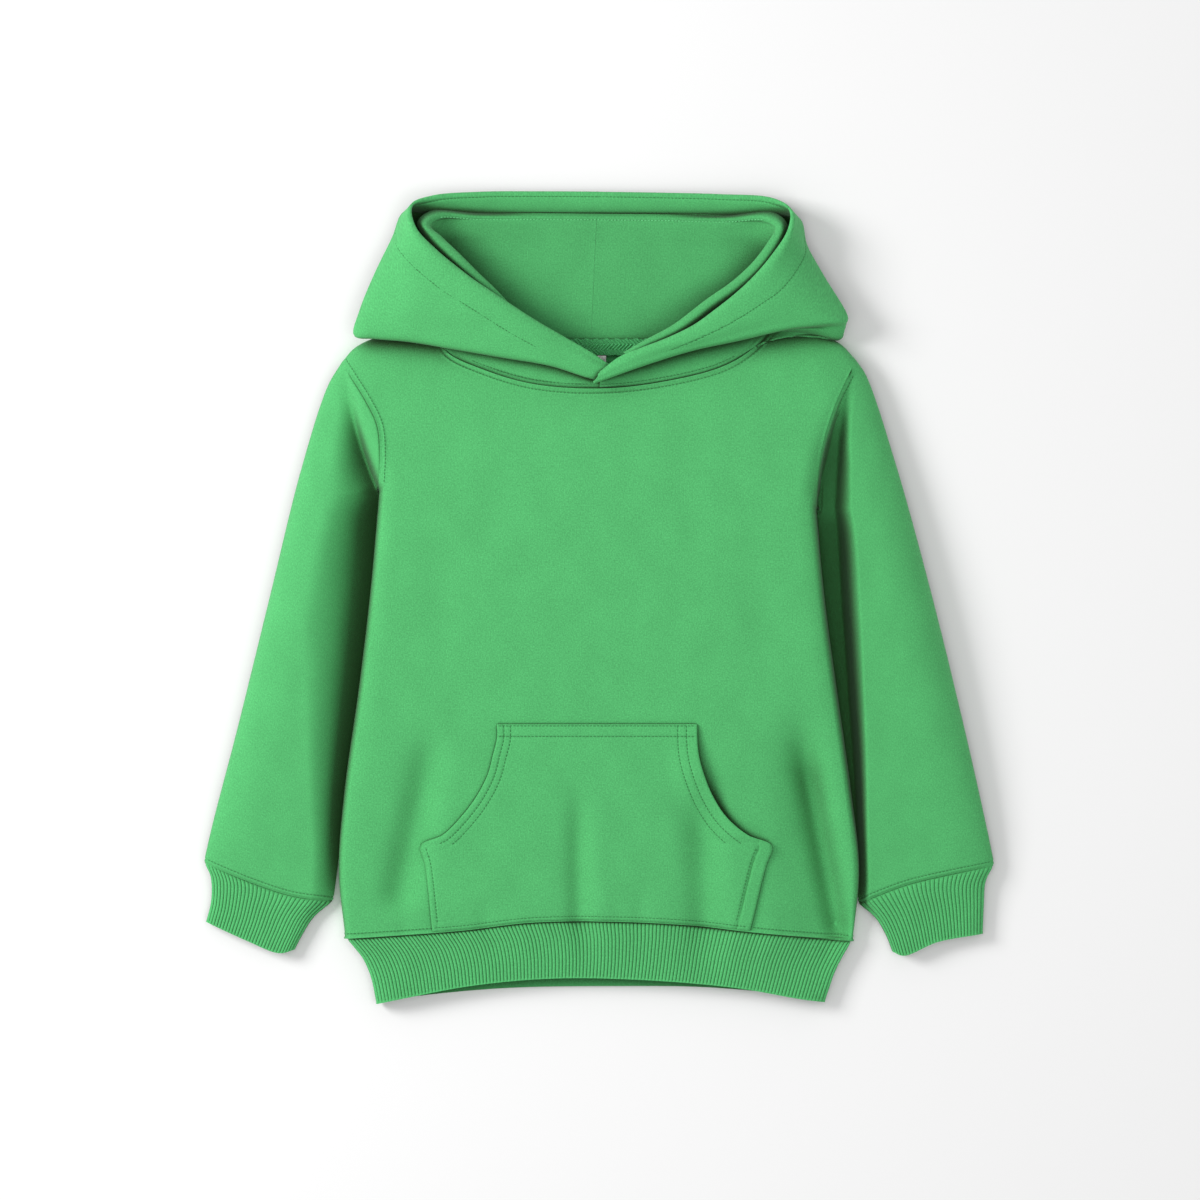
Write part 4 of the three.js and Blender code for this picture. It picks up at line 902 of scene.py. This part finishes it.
back_columns = graded(BODY_WIDTH, 6.0, 2.0)
back_rows = graded(BODY_LENGTH, 8.0, 2.0)
back_grid = body_panel(BACK_NECK, back_columns, back_rows, body_under)
back_cloth = cloth_of(back_columns, back_rows, BODY_WIDTH, BODY_LENGTH)
back = shell("back_cloth", back_grid, -grid_normals(back_grid), BACK_FLEECE, back_cloth, skip=2)


# Sleeves
SLEEVE_WIDTH = 120.0
SLEEVE_LENGTH = 400.0
UNDER_STEPS = 26
SLEEVE_STEPS = [(0, 8, 0.6), (8, 80, 1.3), (80, 391, 2.2), (391, 400, 0.6)]
sleeve_columns = graded(SLEEVE_WIDTH, 1.2, 0.8)
sleeve_rows = np.append(np.concatenate([np.arange(low, high, step) for low, high, step in SLEEVE_STEPS]), 400.0)
sleeve_rows = sleeve_rows / SLEEVE_LENGTH


ROLL_SMOOTHED = 9.0
SEAM_KEPT = 3.0
SMOOTH_PASSES = 8


def smoothed(heights, weight):
    """Evens out heights where the weight says so, and keeps the grid's borders."""
    for _ in range(SMOOTH_PASSES):
        around = heights[:-2, 1:-1] + heights[2:, 1:-1] + heights[1:-1, :-2] + heights[1:-1, 2:]
        heights = heights.copy()
        heights[1:-1, 1:-1] += (around / 4 - heights[1:-1, 1:-1]) * weight[1:-1, 1:-1]
    return heights


def sleeve(name, side):
    def face(columns, height):
        plan = panel(side["armhole"], side["cuff_seam"], side["inner"], side["outer"], columns, sleeve_rows)
        plan[..., 2] = height(side, plan[..., 0], plan[..., 1])
        return plan

    under_columns = 0.5 - 0.5 * np.cos(np.linspace(0, math.pi, UNDER_STEPS))
    upper = face(sleeve_columns, sleeve_top)
    near_roll = distance_to(side["roll_points"], upper[..., 0], upper[..., 1])
    from_armhole = distance_to(side["armhole"].samples(60), upper[..., 0], upper[..., 1])
    upper[..., 2] = smoothed(upper[..., 2], ease(1.5 - near_roll / ROLL_SMOOTHED) * ease(from_armhole / SEAM_KEPT))
    lower = face(under_columns, sleeve_under)[:, 1:-1][:, ::-1]
    ring = np.concatenate([upper, lower], axis=1)
    around = np.concatenate([sleeve_columns, 2 - under_columns[1:-1][::-1]]) * SLEEVE_WIDTH
    u, v = np.meshgrid(around, sleeve_rows * SLEEVE_LENGTH)
    cloth = np.stack([u, v], axis=-1)
    normals = grid_normals(ring, True) * -side["sign"]
    to_armhole = distance_to(side["armhole"].samples(60), ring[..., 0], ring[..., 1])
    to_cuff = distance_to(side["cuff_seam"].samples(60), ring[..., 0], ring[..., 1])
    to_edge = edge_distance(side, ring[..., 0], ring[..., 1])
    beside = [ARMHOLE_ROW_RIGHT] if side["sign"] > 0 else []
    sink = seam_sink(to_armhole, beside, ARMHOLE_WIDTH, ARMHOLE_DEPTH) * armhole_fade(to_edge)
    sink = sink + seam_sink(to_cuff, [CUFF_ROW])
    ring = ring - normals * sink[..., None]
    shown = range(1, len(sleeve_columns) - 1)
    hidden = range(len(sleeve_columns) + 2, ring.shape[1] - 2)
    inside = [j for j in shown if to_edge[0, j] > EDGE_CLEAR]
    lines = [level_line(ring, to_armhole, row, inside) for row in beside]
    lines.append(level_line(ring, to_cuff, CUFF_ROW, shown, back=True))
    stitches(name + "_stitches", lines, THREAD)
    stitches(name + "_stitches_below", [level_line(ring, to_cuff, CUFF_ROW, hidden, back=True)], THREAD, below=True)
    return shell(name, ring, grid_normals(ring, True) * -side["sign"], FLEECE, cloth, looped=True)


sleeve_left = sleeve("sleeve_left_cloth", left)
sleeve_right = sleeve("sleeve_right_cloth", right)


# Ribbed tubes
def rib_profile(places, ribs):
    """How far the face sinks between ribs, by the place across the tube's upper side."""
    phase = np.abs(np.sin(np.pi * places * ribs))
    return RIB_DEPTH * (1 - phase ** 0.55)


def ribbed(name, upper, lower, ribs, rows, facing, material, per_rib=8, under_steps=180):
    top_places = np.linspace(0, 1, ribs * per_rib + 1)
    even = 0.5 - 0.5 * np.cos(np.linspace(0, math.pi, under_steps + 1))
    mixed = 0.45 * even + 0.55 * np.linspace(0, 1, under_steps + 1)
    under_places = mixed[1:-1][::-1]
    ring = np.concatenate([upper(top_places, rows), lower(under_places, rows)], axis=1)
    normals = grid_normals(ring, True) * facing
    sink = np.concatenate([rib_profile(top_places, ribs), np.zeros(len(under_places))])
    fade = ease(np.minimum(rows, 1 - rows) / 0.04) * 0.6 + 0.4
    around = np.concatenate([top_places, 2 - under_places])
    width = np.linalg.norm(ring[0, len(top_places) - 1] - ring[0, 0])
    length = np.linalg.norm(ring[-1, len(top_places) // 2] - ring[0, len(top_places) // 2])
    dip = groove(rows * length, SEAM_WIDTH, SEAM_DEPTH)
    outer = ring - normals * (sink[None, :] * fade[:, None] + dip[:, None])[..., None]
    u, v = np.meshgrid(around * width, rows * length)
    mesh = Mesh()
    a = mesh.sheet(outer, np.stack([u, v], axis=-1))
    inner_columns = np.arange(0, ring.shape[1], 6)
    inner_rows = every(len(rows), 3)
    inner = (ring - normals * RIB_WALL)[np.ix_(inner_rows, inner_columns)]
    b = mesh.sheet(inner, np.stack([u, v], axis=-1)[np.ix_(inner_rows, inner_columns)])
    mesh.quads(a, True)
    mesh.quads(b, True, turned=True)
    all_columns = np.append(np.arange(ring.shape[1]), ring.shape[1])
    some_columns = np.append(inner_columns, ring.shape[1])
    mesh.strip(np.append(b[0], b[0][0]), some_columns, np.append(a[0], a[0][0]), all_columns)
    mesh.strip(np.append(b[-1], b[-1][0]), some_columns, np.append(a[-1], a[-1][0]), all_columns, turned=True)
    return mesh.make(name, material, sharp=75.0)


def hem_band():
    starts, ends = Route(HEM_LEFT), Route(HEM_RIGHT)
    front_end, back_end = Route(HEM_FRONT_END), Route(HEM_BACK_END)

    def plan(end_line, u, v):
        return panel(hem_seam, end_line, starts, ends, u, v)

    def side_distance(u, v):
        wide = panel(hem_seam, front_end, starts, ends, np.array([0.0, 1.0]), v)
        width = np.linalg.norm(wide[:, 1] - wide[:, 0], axis=-1)
        return np.minimum(u, 1 - u)[None, :] * width[:, None]

    def seam_edge(u, v):
        seam_y = hem_seam(u)[:, 1]
        return read(SIDE_EDGE, seam_y)[None, :] * (1 - v[:, None]) + HEM_EDGE_AT_END * v[:, None]

    def upper(u, v):
        p = plan(front_end, u, v)
        seam = hem_seam(u)
        edge = seam_edge(u, v)
        at_end = edge + (HEM_HEIGHT_AT_END - edge) * quarter_round(side_distance(u, v) / BODY_ROUND)
        p[..., 2] = body_top(seam[:, 0], seam[:, 1])[None, :] * (1 - v[:, None]) + at_end * v[:, None]
        return p

    def lower(u, v):
        p = plan(back_end, u, v)
        edge = seam_edge(u, v)
        p[..., 2] = edge * (1 - quarter_round(side_distance(u, v) / edge))
        return p

    rows = graded(46.0, 1.9, 0.7, 2.8)
    return ribbed("hem_band_cloth", upper, lower, HEM_RIBS, rows, -1, RIB)


def cuff(name, side):
    def plan(u, v):
        return panel(side["cuff_seam"], side["cuff_end"], side["cuff_inner"], side["cuff_outer"], u, v)

    def edge_height(u, v):
        p = side["cuff_seam"](u)
        seam = read(INNER_EDGE, p[:, 1]) * (1 - u) + read(OUTER_EDGE, p[:, 1]) * u
        return seam[None, :] * (1 - v[:, None]) + CUFF_EDGE_AT_END * v[:, None]

    def near(u, v):
        wide = plan(np.array([0.0, 1.0]), v)
        width = np.linalg.norm(wide[:, 1] - wide[:, 0], axis=-1)
        return np.minimum(u, 1 - u)[None, :] * width[:, None]

    def upper(u, v):
        p = plan(u, v)
        edge = edge_height(u, v)
        at_end = edge + (CUFF_HEIGHT_AT_END - edge) * quarter_round(near(u, v) / CUFF_EDGE_AT_END / 2)
        seam = side["cuff_seam"](u)
        share = ease(v * CUFF_SETTLE)[:, None]
        p[..., 2] = sleeve_top(side, seam[:, 0], seam[:, 1])[None, :] * (1 - share) + at_end * share
        return p

    def lower(u, v):
        p = plan(u, v)
        edge = edge_height(u, v)
        p[..., 2] = edge * (1 - quarter_round(near(u, v) / edge))
        return p

    rows = graded(45.0, 1.6, 0.7, 2.8)
    return ribbed(name, upper, lower, CUFF_RIBS, rows, -side["sign"], RIB, per_rib=10, under_steps=90)


hem = hem_band()
cuff_left = cuff("cuff_left_cloth", left)
cuff_right = cuff("cuff_right_cloth", right)


# Kangaroo pocket
POCKET_WIDTH = 240.0
POCKET_LENGTH = 150.0
pocket_columns = graded(POCKET_WIDTH, 1.7, 0.7, 14.0)
pocket_rows = graded(POCKET_LENGTH, 1.7, 0.7, 14.0)


POCKET_STEPS = len(POCKET_ROWS) - 1
OPENING_END = 7 / POCKET_STEPS
POCKET_ABOVE = 2.5
POCKET_SEWN = 1.4
POCKET_EDGE = 2.2
POCKET_JOIN_Y = -204.0
POCKET_BOTTOM_Y = -246.0
TOP_ROWS = (1.4, 9.6)
OPENING_ROWS_LEFT = (5.2, 10.2)
OPENING_ROWS_RIGHT = (8.4, 15.2)
SIDE_ROW_LEFT = 4.6
SIDE_ROW_RIGHT = 12.2
SIDE_FOLD = 10.4
SIDE_FOLD_WIDTH = 0.9
SIDE_FOLD_DEPTH = 1.1


def pocket_piece():
    rows = np.array(POCKET_ROWS, float)
    edges = catmull(rows[:, [0, 1, 2]], pocket_rows * POCKET_STEPS)
    lift = np.interp(pocket_rows * POCKET_STEPS, np.arange(len(rows)), rows[:, 3])
    u = pocket_columns[None, :]
    x = edges[:, 1:2] * (1 - u) + edges[:, 2:3] * u
    y = np.broadcast_to(edges[:, 0:1], x.shape)
    seam_y = np.interp(x, hem_points[:, 0], hem_points[:, 1])
    y = y + (seam_y - POCKET_BOTTOM_Y) * ease((POCKET_JOIN_Y - y) / (POCKET_JOIN_Y - POCKET_BOTTOM_Y))
    raised = POCKET_LIFT * lift[:, None] * ease((u - POCKET_LIFT_FROM) / (1 - POCKET_LIFT_FROM))
    corner = int(np.searchsorted(pocket_rows, OPENING_END))
    left_edge = np.stack([x[:, 0], y[:, 0]], axis=-1)
    right_edge = np.stack([x[:, -1], y[:, -1]], axis=-1)
    to_top = POCKET_ROWS[0][0] - y
    to_bottom = y - seam_y
    to_left_side = distance_to(left_edge[corner:], x, y)
    to_right_side = distance_to(right_edge[corner:], x, y)
    to_left_opening = distance_to(left_edge[:corner + 1], x, y)
    to_right_opening = distance_to(right_edge[:corner + 1], x, y)
    sewn = np.minimum.reduce([to_top, to_bottom, to_left_side, to_right_side])
    height = POCKET_SEWN + (POCKET_ABOVE - POCKET_SEWN) * quarter_round(sewn / POCKET_EDGE) + raised
    turned = np.minimum(to_left_opening, to_right_opening)
    sink = 0.9 * (1 - quarter_round(turned / POCKET_EDGE)) + groove(to_bottom, SEAM_WIDTH, SEAM_DEPTH)
    sink = sink + groove(to_right_side - SIDE_FOLD, SIDE_FOLD_WIDTH, SIDE_FOLD_DEPTH) * (y < POCKET_ROWS[7][0])
    rows_at = [(to_top, TOP_ROWS), (to_bottom, (HEM_ROW,)), (to_left_opening, OPENING_ROWS_LEFT)]
    rows_at += [(to_right_opening, OPENING_ROWS_RIGHT), (to_left_side, (SIDE_ROW_LEFT,))]
    rows_at += [(to_right_side, (SIDE_ROW_RIGHT,))]
    for field, places in rows_at:
        sink = sink + sum(groove(field - place, ROW_WIDTH, ROW_DEPTH) for place in places)
    grid = np.stack([x, y, body_top(x, y) + height - sink], axis=-1)
    cloth = np.stack([x, y], axis=-1)
    normals = -grid_normals(grid)
    sideways = grid.transpose(1, 0, 2)
    columns = range(2, grid.shape[1] - 2)
    upper, lower = range(2, corner), range(corner + 1, grid.shape[0] - 6)
    lines = [level_line(grid, to_top, place, columns) for place in TOP_ROWS]
    lines.append(level_line(grid, to_bottom, HEM_ROW, columns, back=True))
    lines += [level_line(sideways, to_left_opening.T, place, upper) for place in OPENING_ROWS_LEFT]
    lines += [level_line(sideways, to_right_opening.T, place, upper, back=True) for place in OPENING_ROWS_RIGHT]
    lines.append(level_line(sideways, to_left_side.T, SIDE_ROW_LEFT, lower))
    lines.append(level_line(sideways, to_right_side.T, SIDE_ROW_RIGHT, lower, back=True))
    stitches("pocket_stitches", lines, THREAD)
    return shell("pocket_cloth", grid, normals, FLEECE, cloth)


pocket = pocket_piece()


# Hood

def seam_at(sign, neck):
    """A place round the neck seam: 0 at the centre back, 1 at the shoulder, 2 at the centre front."""
    if neck <= 1:
        middle = 0.5
        t = middle + sign * (0.5 * neck)
        p = neck_back(np.array([t]))[0]
        return np.array([p[0], p[1], body_under(p[:1], p[1:2])[0]])
    t = 1 - (neck - 1) * 0.5 if sign > 0 else (neck - 1) * 0.5
    p = neck_front(np.array([clamp01(t)]))[0]
    return np.array([p[0], p[1], body_top(p[:1], p[1:2])[0]])


def unit(v):
    return v / max(np.linalg.norm(v), 1e-9)


def fold_points(before, at, after, radius):
    into = unit(at - before)
    gap = np.linalg.norm(after - at)
    out = unit(after - at)
    reach = min(radius, gap * FOLD_SHARE)
    lift = np.array([0, 0, radius * (1 - into @ out) / 2])
    return [at - into * radius - lift, at, at + out * reach + lift]


def loft(sections, across_places, stations):
    across = np.array([catmull(np.array(points), across_places) for points in sections])
    return catmull(across, np.linspace(0, len(sections) - 1, stations)).transpose(0, 1, 2)


def over_front(x, y):
    """How much of a place lies over the front, from 0 at its neck seam or shoulder line to 1 a little inside."""
    shoulder = shoulder_points[np.argsort(shoulder_points[:, 0])]
    line = np.interp(x, shoulder[:, 0], shoulder[:, 1]) + 1
    low, high = FRONT_NECK[0][0], FRONT_NECK[-1][0]
    limit = np.where((x > low) & (x < high), read(FRONT_NECK, x), line)
    return ease((limit - y) / LIFT_RUN)


def lift_off_front(grid, clearance):
    x, y = grid[..., 0], grid[..., 1]
    floor = body_top(x, y) + clearance
    over = grid[..., 2] - floor
    soft = floor + LIFT_SOFTNESS * np.logaddexp(0, over / LIFT_SOFTNESS)
    lifted = grid[..., 2] + (soft - grid[..., 2]) * over_front(x, y)
    return np.concatenate([grid[..., :2], lifted[..., None]], axis=-1)


LIFT_SOFTNESS = 0.5
RIM_ROLL = 3.4
RIM_DROP = 2.4
RIM_TUCK = 5.8
RIM_PLACE = 12
HOOD_ACROSS = np.concatenate([np.linspace(0, 7, 46), np.linspace(7, 13, 70)[1:]])
HOOD_STATIONS = 230
WING_ROW = 23.0
WING_NECKS = (0.9, 1.62)
CROWN_ROW = 3.2
CROWN_NECKS = (0.0, 0.84)
HOOD_SEAM_NECK = 1.3


def hood_piece(name, table, sign):
    sections = []
    for neck, cx, cy, cz, fx, fy, fz, rx, ry, rz in table:
        base = seam_at(sign, neck)
        crease, fold, rim = np.array([cx, cy, cz]), np.array([fx, fy, fz]), np.array([rx, ry, rz])
        start = base + (crease - base) * (HOOD_START / np.linalg.norm(crease - base))
        over_corner = math.exp(-(((neck - 1) / CORNER_SPREAD) ** 2))
        start[1] += CORNER_CLEAR * over_corner
        behind = max(WALL / 2 + HOOD_ABOVE_SURFACE, base[2])
        start[2] = (behind if neck < 1 else base[2] - WALL / 2) + CORNER_CLEAR * over_corner
        share = min(1.0, np.linalg.norm(rim - fold) / WIDE_HOOD)
        rise = HOOD_BULGE * math.sqrt(share)
        fold_radius = HOOD_FOLD_RADIUS * share**0.6

        def bulge(t):
            return fold + (rim - fold) * t + np.array([0, 0, rise * math.sin(math.pi * t)])

        ahead = rim - bulge(BULGE_PLACES[1])
        ahead = unit(np.array([ahead[0], ahead[1], 0.0]))
        roll = min(RIM_ROLL, 0.35 * np.linalg.norm(rim - bulge(BULGE_PLACES[1])))
        sections.append([
            start,
            (start + crease) / 2,
            *fold_points(start, crease, fold, HOOD_CREASE_RADIUS),
            (crease + fold) / 2,
            *fold_points(crease, fold, bulge(BULGE_PLACES[0]), fold_radius),
            *[bulge(t) for t in BULGE_PLACES],
            rim - ahead * roll,
            rim - np.array([0, 0, RIM_DROP * share]),
            rim - ahead * roll * 0.7 - np.array([0, 0, RIM_TUCK * (0.35 + 0.65 * share)]),
        ])
    grid = loft(sections, HOOD_ACROSS, HOOD_STATIONS)
    grid = lift_off_front(grid, WALL / 2 + LAP_CLEAR)
    necks = np.interp(np.linspace(0, len(table) - 1, HOOD_STATIONS), np.arange(len(table)), [r[0] for r in table])
    to_seam = distance_to(neck_points, grid[..., 0], grid[..., 1])
    low_part = (HOOD_ACROSS < 3)[None, :] & (necks > 1)[:, None]
    normals = grid_normals(grid)
    facing = np.where(normals[..., 2] < 0, -1.0, 1.0)
    sink = np.where(low_part, seam_sink(to_seam, [NECK_ROW], SEAM_WIDTH, 1.0), 0.0) * facing
    rim_column = int(np.argmin(np.abs(HOOD_ACROSS - RIM_PLACE)))
    from_rim = np.linalg.norm(grid - grid[:, rim_column:rim_column + 1], axis=-1)
    for (first, last), row in ((WING_NECKS, WING_ROW), (CROWN_NECKS, CROWN_ROW)):
        shown = ((necks > first) & (necks < last))[:, None] & (np.arange(len(HOOD_ACROSS)) < rim_column)[None, :]
        sink = sink + np.where(shown, groove(from_rim - row, ROW_WIDTH, ROW_DEPTH), 0.0) * facing
    grid = grid - normals * sink[..., None]

    face = grid + normals * facing[..., None] * (WALL / 2)
    sideways = face.transpose(1, 0, 2)
    stations = np.arange(HOOD_STATIONS)
    near_seam = stations[necks > HOOD_SEAM_NECK]
    wing = stations[(necks > WING_NECKS[0]) & (necks < WING_NECKS[1])]
    crown = stations[(necks >= CROWN_NECKS[0]) & (necks < CROWN_NECKS[1])]
    upto_rim = rim_column + 1
    lines = [
        level_line(sideways[:30], to_seam.T[:30], NECK_ROW, near_seam),
        level_line(sideways[:upto_rim], from_rim.T[:upto_rim], WING_ROW, wing, back=True),
        level_line(sideways[:upto_rim], from_rim.T[:upto_rim], CROWN_ROW, crown, back=True),
    ]
    stitches(name + "_stitches", [line for line in lines if len(line) > 3], THREAD)
    cloth = np.stack([grid[..., 0], grid[..., 1] + grid[..., 2]], axis=-1)
    return shell(name, grid, grid_normals(grid), FLEECE, cloth, offsets=(-WALL / 2, WALL / 2), skip=3)


hood_left = hood_piece("hood_left_cloth", HOOD_LEFT, -1)
hood_right = hood_piece("hood_right_cloth", HOOD_RIGHT, 1)

LINING_ACROSS = np.linspace(0, 7, 100)
LINING_STATIONS = 200
FLAT_LIP = 9.0
HIGH_LIP = 20.0
LIP_PLACE = 5.2
SEAM_RIDGE = 0.8
SEAM_RIDGE_HEIGHT = 0.5


def lining_piece(name, table):
    sections = []
    for row in table:
        start, turn, lip, end = (np.array(row[k:k + 3], float) for k in (0, 3, 6, 9))
        crest = lip * 0.55 + end * 0.45
        raised = ease((lip[2] - FLAT_LIP) / (HIGH_LIP - FLAT_LIP))
        crest[2] = max(lip[2], end[2]) + ROLL_CREST * raised
        sections.append([
            start,
            (start + turn) / 2,
            turn,
            (turn + lip) / 2 - np.array([0, 0, ROLL_DROP / 2 * raised]),
            lip - np.array([0, 0, ROLL_DROP * raised]),
            lip * 0.88 + end * 0.12,
            crest,
            end,
        ])
    grid = loft(sections, LINING_ACROSS, LINING_STATIONS)
    from_seam = np.linalg.norm(grid - grid[:1], axis=-1)
    grid[..., 2] += groove(from_seam - SEAM_RIDGE, SEAM_RIDGE, SEAM_RIDGE_HEIGHT)
    face = grid + grid_normals(grid) * (WALL / 2) * np.where(grid_normals(grid)[..., 2:] < 0, -1.0, 1.0)
    lip_column = int(np.argmin(np.abs(LINING_ACROSS - LIP_PLACE)))
    flat = np.array([row[8] for row in table])
    lips = np.interp(np.linspace(0, len(table) - 1, LINING_STATIONS), np.arange(len(table)), flat)
    # These stitches use the lighter thread, a painted highlight along the ridge
    stitches(name + "_stitches", [face[lips < HIGH_LIP, lip_column]], RIDGE_THREAD_PAINTED_HIGHLIGHT, pitch=2.6, radius=0.5)
    cloth = grid[..., :2].copy()
    return shell(name, grid, grid_normals(grid), LINING, cloth, offsets=(-WALL / 2, WALL / 2), skip=3)


lining_left = lining_piece("hood_lining_left_cloth", LINING_LEFT)
lining_right = lining_piece("hood_lining_right_cloth", LINING_RIGHT)


# Neck tape and label
HERRINGBONE_BAND = 4.1
HERRINGBONE_PITCH = 2.9
HERRINGBONE_RELIEF = 0.6
LABEL_CURL = 7.0


def strip_piece(name, sizes, material, step, relief):
    columns = np.linspace(sizes["from_x"], sizes["to_x"], int((sizes["to_x"] - sizes["from_x"]) / step))
    rows = np.linspace(sizes["low_y"], sizes["high_y"], int((sizes["high_y"] - sizes["low_y"]) / step))
    x, y = np.meshgrid(columns, rows)
    z = sizes["height"] + sizes["thickness"] + relief(x - sizes["from_x"], y - sizes["low_y"])
    grid = np.stack([x, y, z], axis=-1)
    cloth = np.stack([x, y], axis=-1)
    return shell(name, grid, grid_normals(grid), material, cloth, thickness=sizes["thickness"], skip=6)


def herringbone(across, up):
    """Slanted ridges that turn the other way in each band of the tape's width."""
    into = np.mod(up, 2 * HERRINGBONE_BAND)
    zigzag = np.where(into < HERRINGBONE_BAND, into, 2 * HERRINGBONE_BAND - into)
    return HERRINGBONE_RELIEF * np.sin(2 * math.pi * (across + zigzag) / HERRINGBONE_PITCH)


def label_curl(across, up):
    """The label's upper corner lifts a little towards the opening."""
    width, length = LABEL["to_x"] - LABEL["from_x"], LABEL["high_y"] - LABEL["low_y"]
    return LABEL_CURL * ease(across / width) * ease(up / length)


tape = strip_piece("neck_tape_cloth", TAPE, TAPE_CLOTH, 0.35, herringbone)
label = strip_piece("neck_label_cloth", LABEL, LABEL_CLOTH, 0.5, label_curl)

# What each piece stands for, its slot, its flat size in metres and its flat area as a share of that
PIECES = [
    (front, "front", "fleece", (0.42, 0.50), 0.9, "laid", ["back"]),
    (back, "back", "fleece", (0.42, 0.52), 0.9, "laid", []),
    (sleeve_left, "sleeve_left", "fleece", (0.25, 0.41), 0.74, "folded", []),
    (sleeve_right, "sleeve_right", "fleece", (0.25, 0.41), 0.74, "folded", []),
    (cuff_left, "cuff_left", "rib", (0.17, 0.05), 1.0, "folded", []),
    (cuff_right, "cuff_right", "rib", (0.17, 0.05), 1.0, "folded", []),
    (hem, "hem_band", "rib", (0.74, 0.05), 1.0, "folded", []),
    (pocket, "pocket", "fleece", (0.27, 0.16), 0.85, "laid", ["front"]),
    (hood_left, "hood_left", "fleece", (0.27, 0.18), 0.85, "folded", ["front"]),
    (hood_right, "hood_right", "fleece", (0.27, 0.18), 0.85, "folded", ["front"]),
    (lining_left, "hood_lining_left", "lining", (0.24, 0.13), 0.85, "folded", ["hood_left"]),
    (lining_right, "hood_lining_right", "lining", (0.24, 0.13), 0.85, "folded", ["hood_right"]),
    (tape, "neck_tape", "tape", (0.11, 0.0121), 1.0, "laid", []),
    (label, "neck_label", "label", (0.0222, 0.0246), 1.0, "laid", []),
]
for piece, node, slot, flat, share, held, rests in PIECES:
    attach(piece, "root")
    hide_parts(node)
    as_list(rests)

# Floor, lights and camera
floor_data = bpy.data.meshes.new("floor")
FLOOR = 6.0
floor_data.from_pydata([(-FLOOR, -FLOOR, -0.0004), (FLOOR, -FLOOR, -0.0004), (FLOOR, FLOOR, -0.0004), (-FLOOR, FLOOR, -0.0004)], [], [(0, 1, 2, 3)])
floor_material, _, _, floor_shader = node_tree("floor")
floor_shader.inputs["Base Color"].default_value = (0.94, 0.94, 0.94, 1)
floor_shader.inputs["Roughness"].default_value = 0.95
floor_data.materials.append(floor_material)
floor = bpy.data.objects.new("floor", floor_data)
bpy.context.collection.objects.link(floor)


def area_light(name, place, power, size):
    light = bpy.data.lights.new(name, "AREA")
    light.energy = power
    light.size = size
    holder = bpy.data.objects.new(name, light)
    holder.location = place
    holder.rotation_mode = "QUATERNION"
    holder.rotation_quaternion = (-Vector(place)).to_track_quat("-Z", "Y")
    bpy.context.collection.objects.link(holder)
    return holder


area_light("key", (-2.15, 0.75, 1.6), 55, 1.1)
area_light("fill", (0.3, -0.4, 3.2), 28, 2.4)
world = bpy.data.worlds.new("studio")
world.use_nodes = True
world.node_tree.nodes["Background"].inputs["Color"].default_value = (1, 1, 1, 1)
world.node_tree.nodes["Background"].inputs["Strength"].default_value = 0.45
scene = bpy.context.scene
scene.world = world
scene.view_settings.view_transform = "Standard"

FRAME_MM = 1200 / 1.30
FRAME_CENTRE = ((600 - 598) / 1.30, (598.75 - 600) / 1.30)
CAMERA_HEIGHT = 6.0
MID_HEIGHT = 0.03
camera_data = bpy.data.cameras.new("camera")
camera_data.sensor_width = 36
camera_data.lens = 36 * (CAMERA_HEIGHT - MID_HEIGHT) / (FRAME_MM * MM)
camera = bpy.data.objects.new("camera", camera_data)
camera.location = (
    (FRAME_CENTRE[0] - CENTRE[0]) * MM,
    (FRAME_CENTRE[1] - CENTRE[1]) * MM,
    CAMERA_HEIGHT,
)
bpy.context.collection.objects.link(camera)
scene.camera = camera
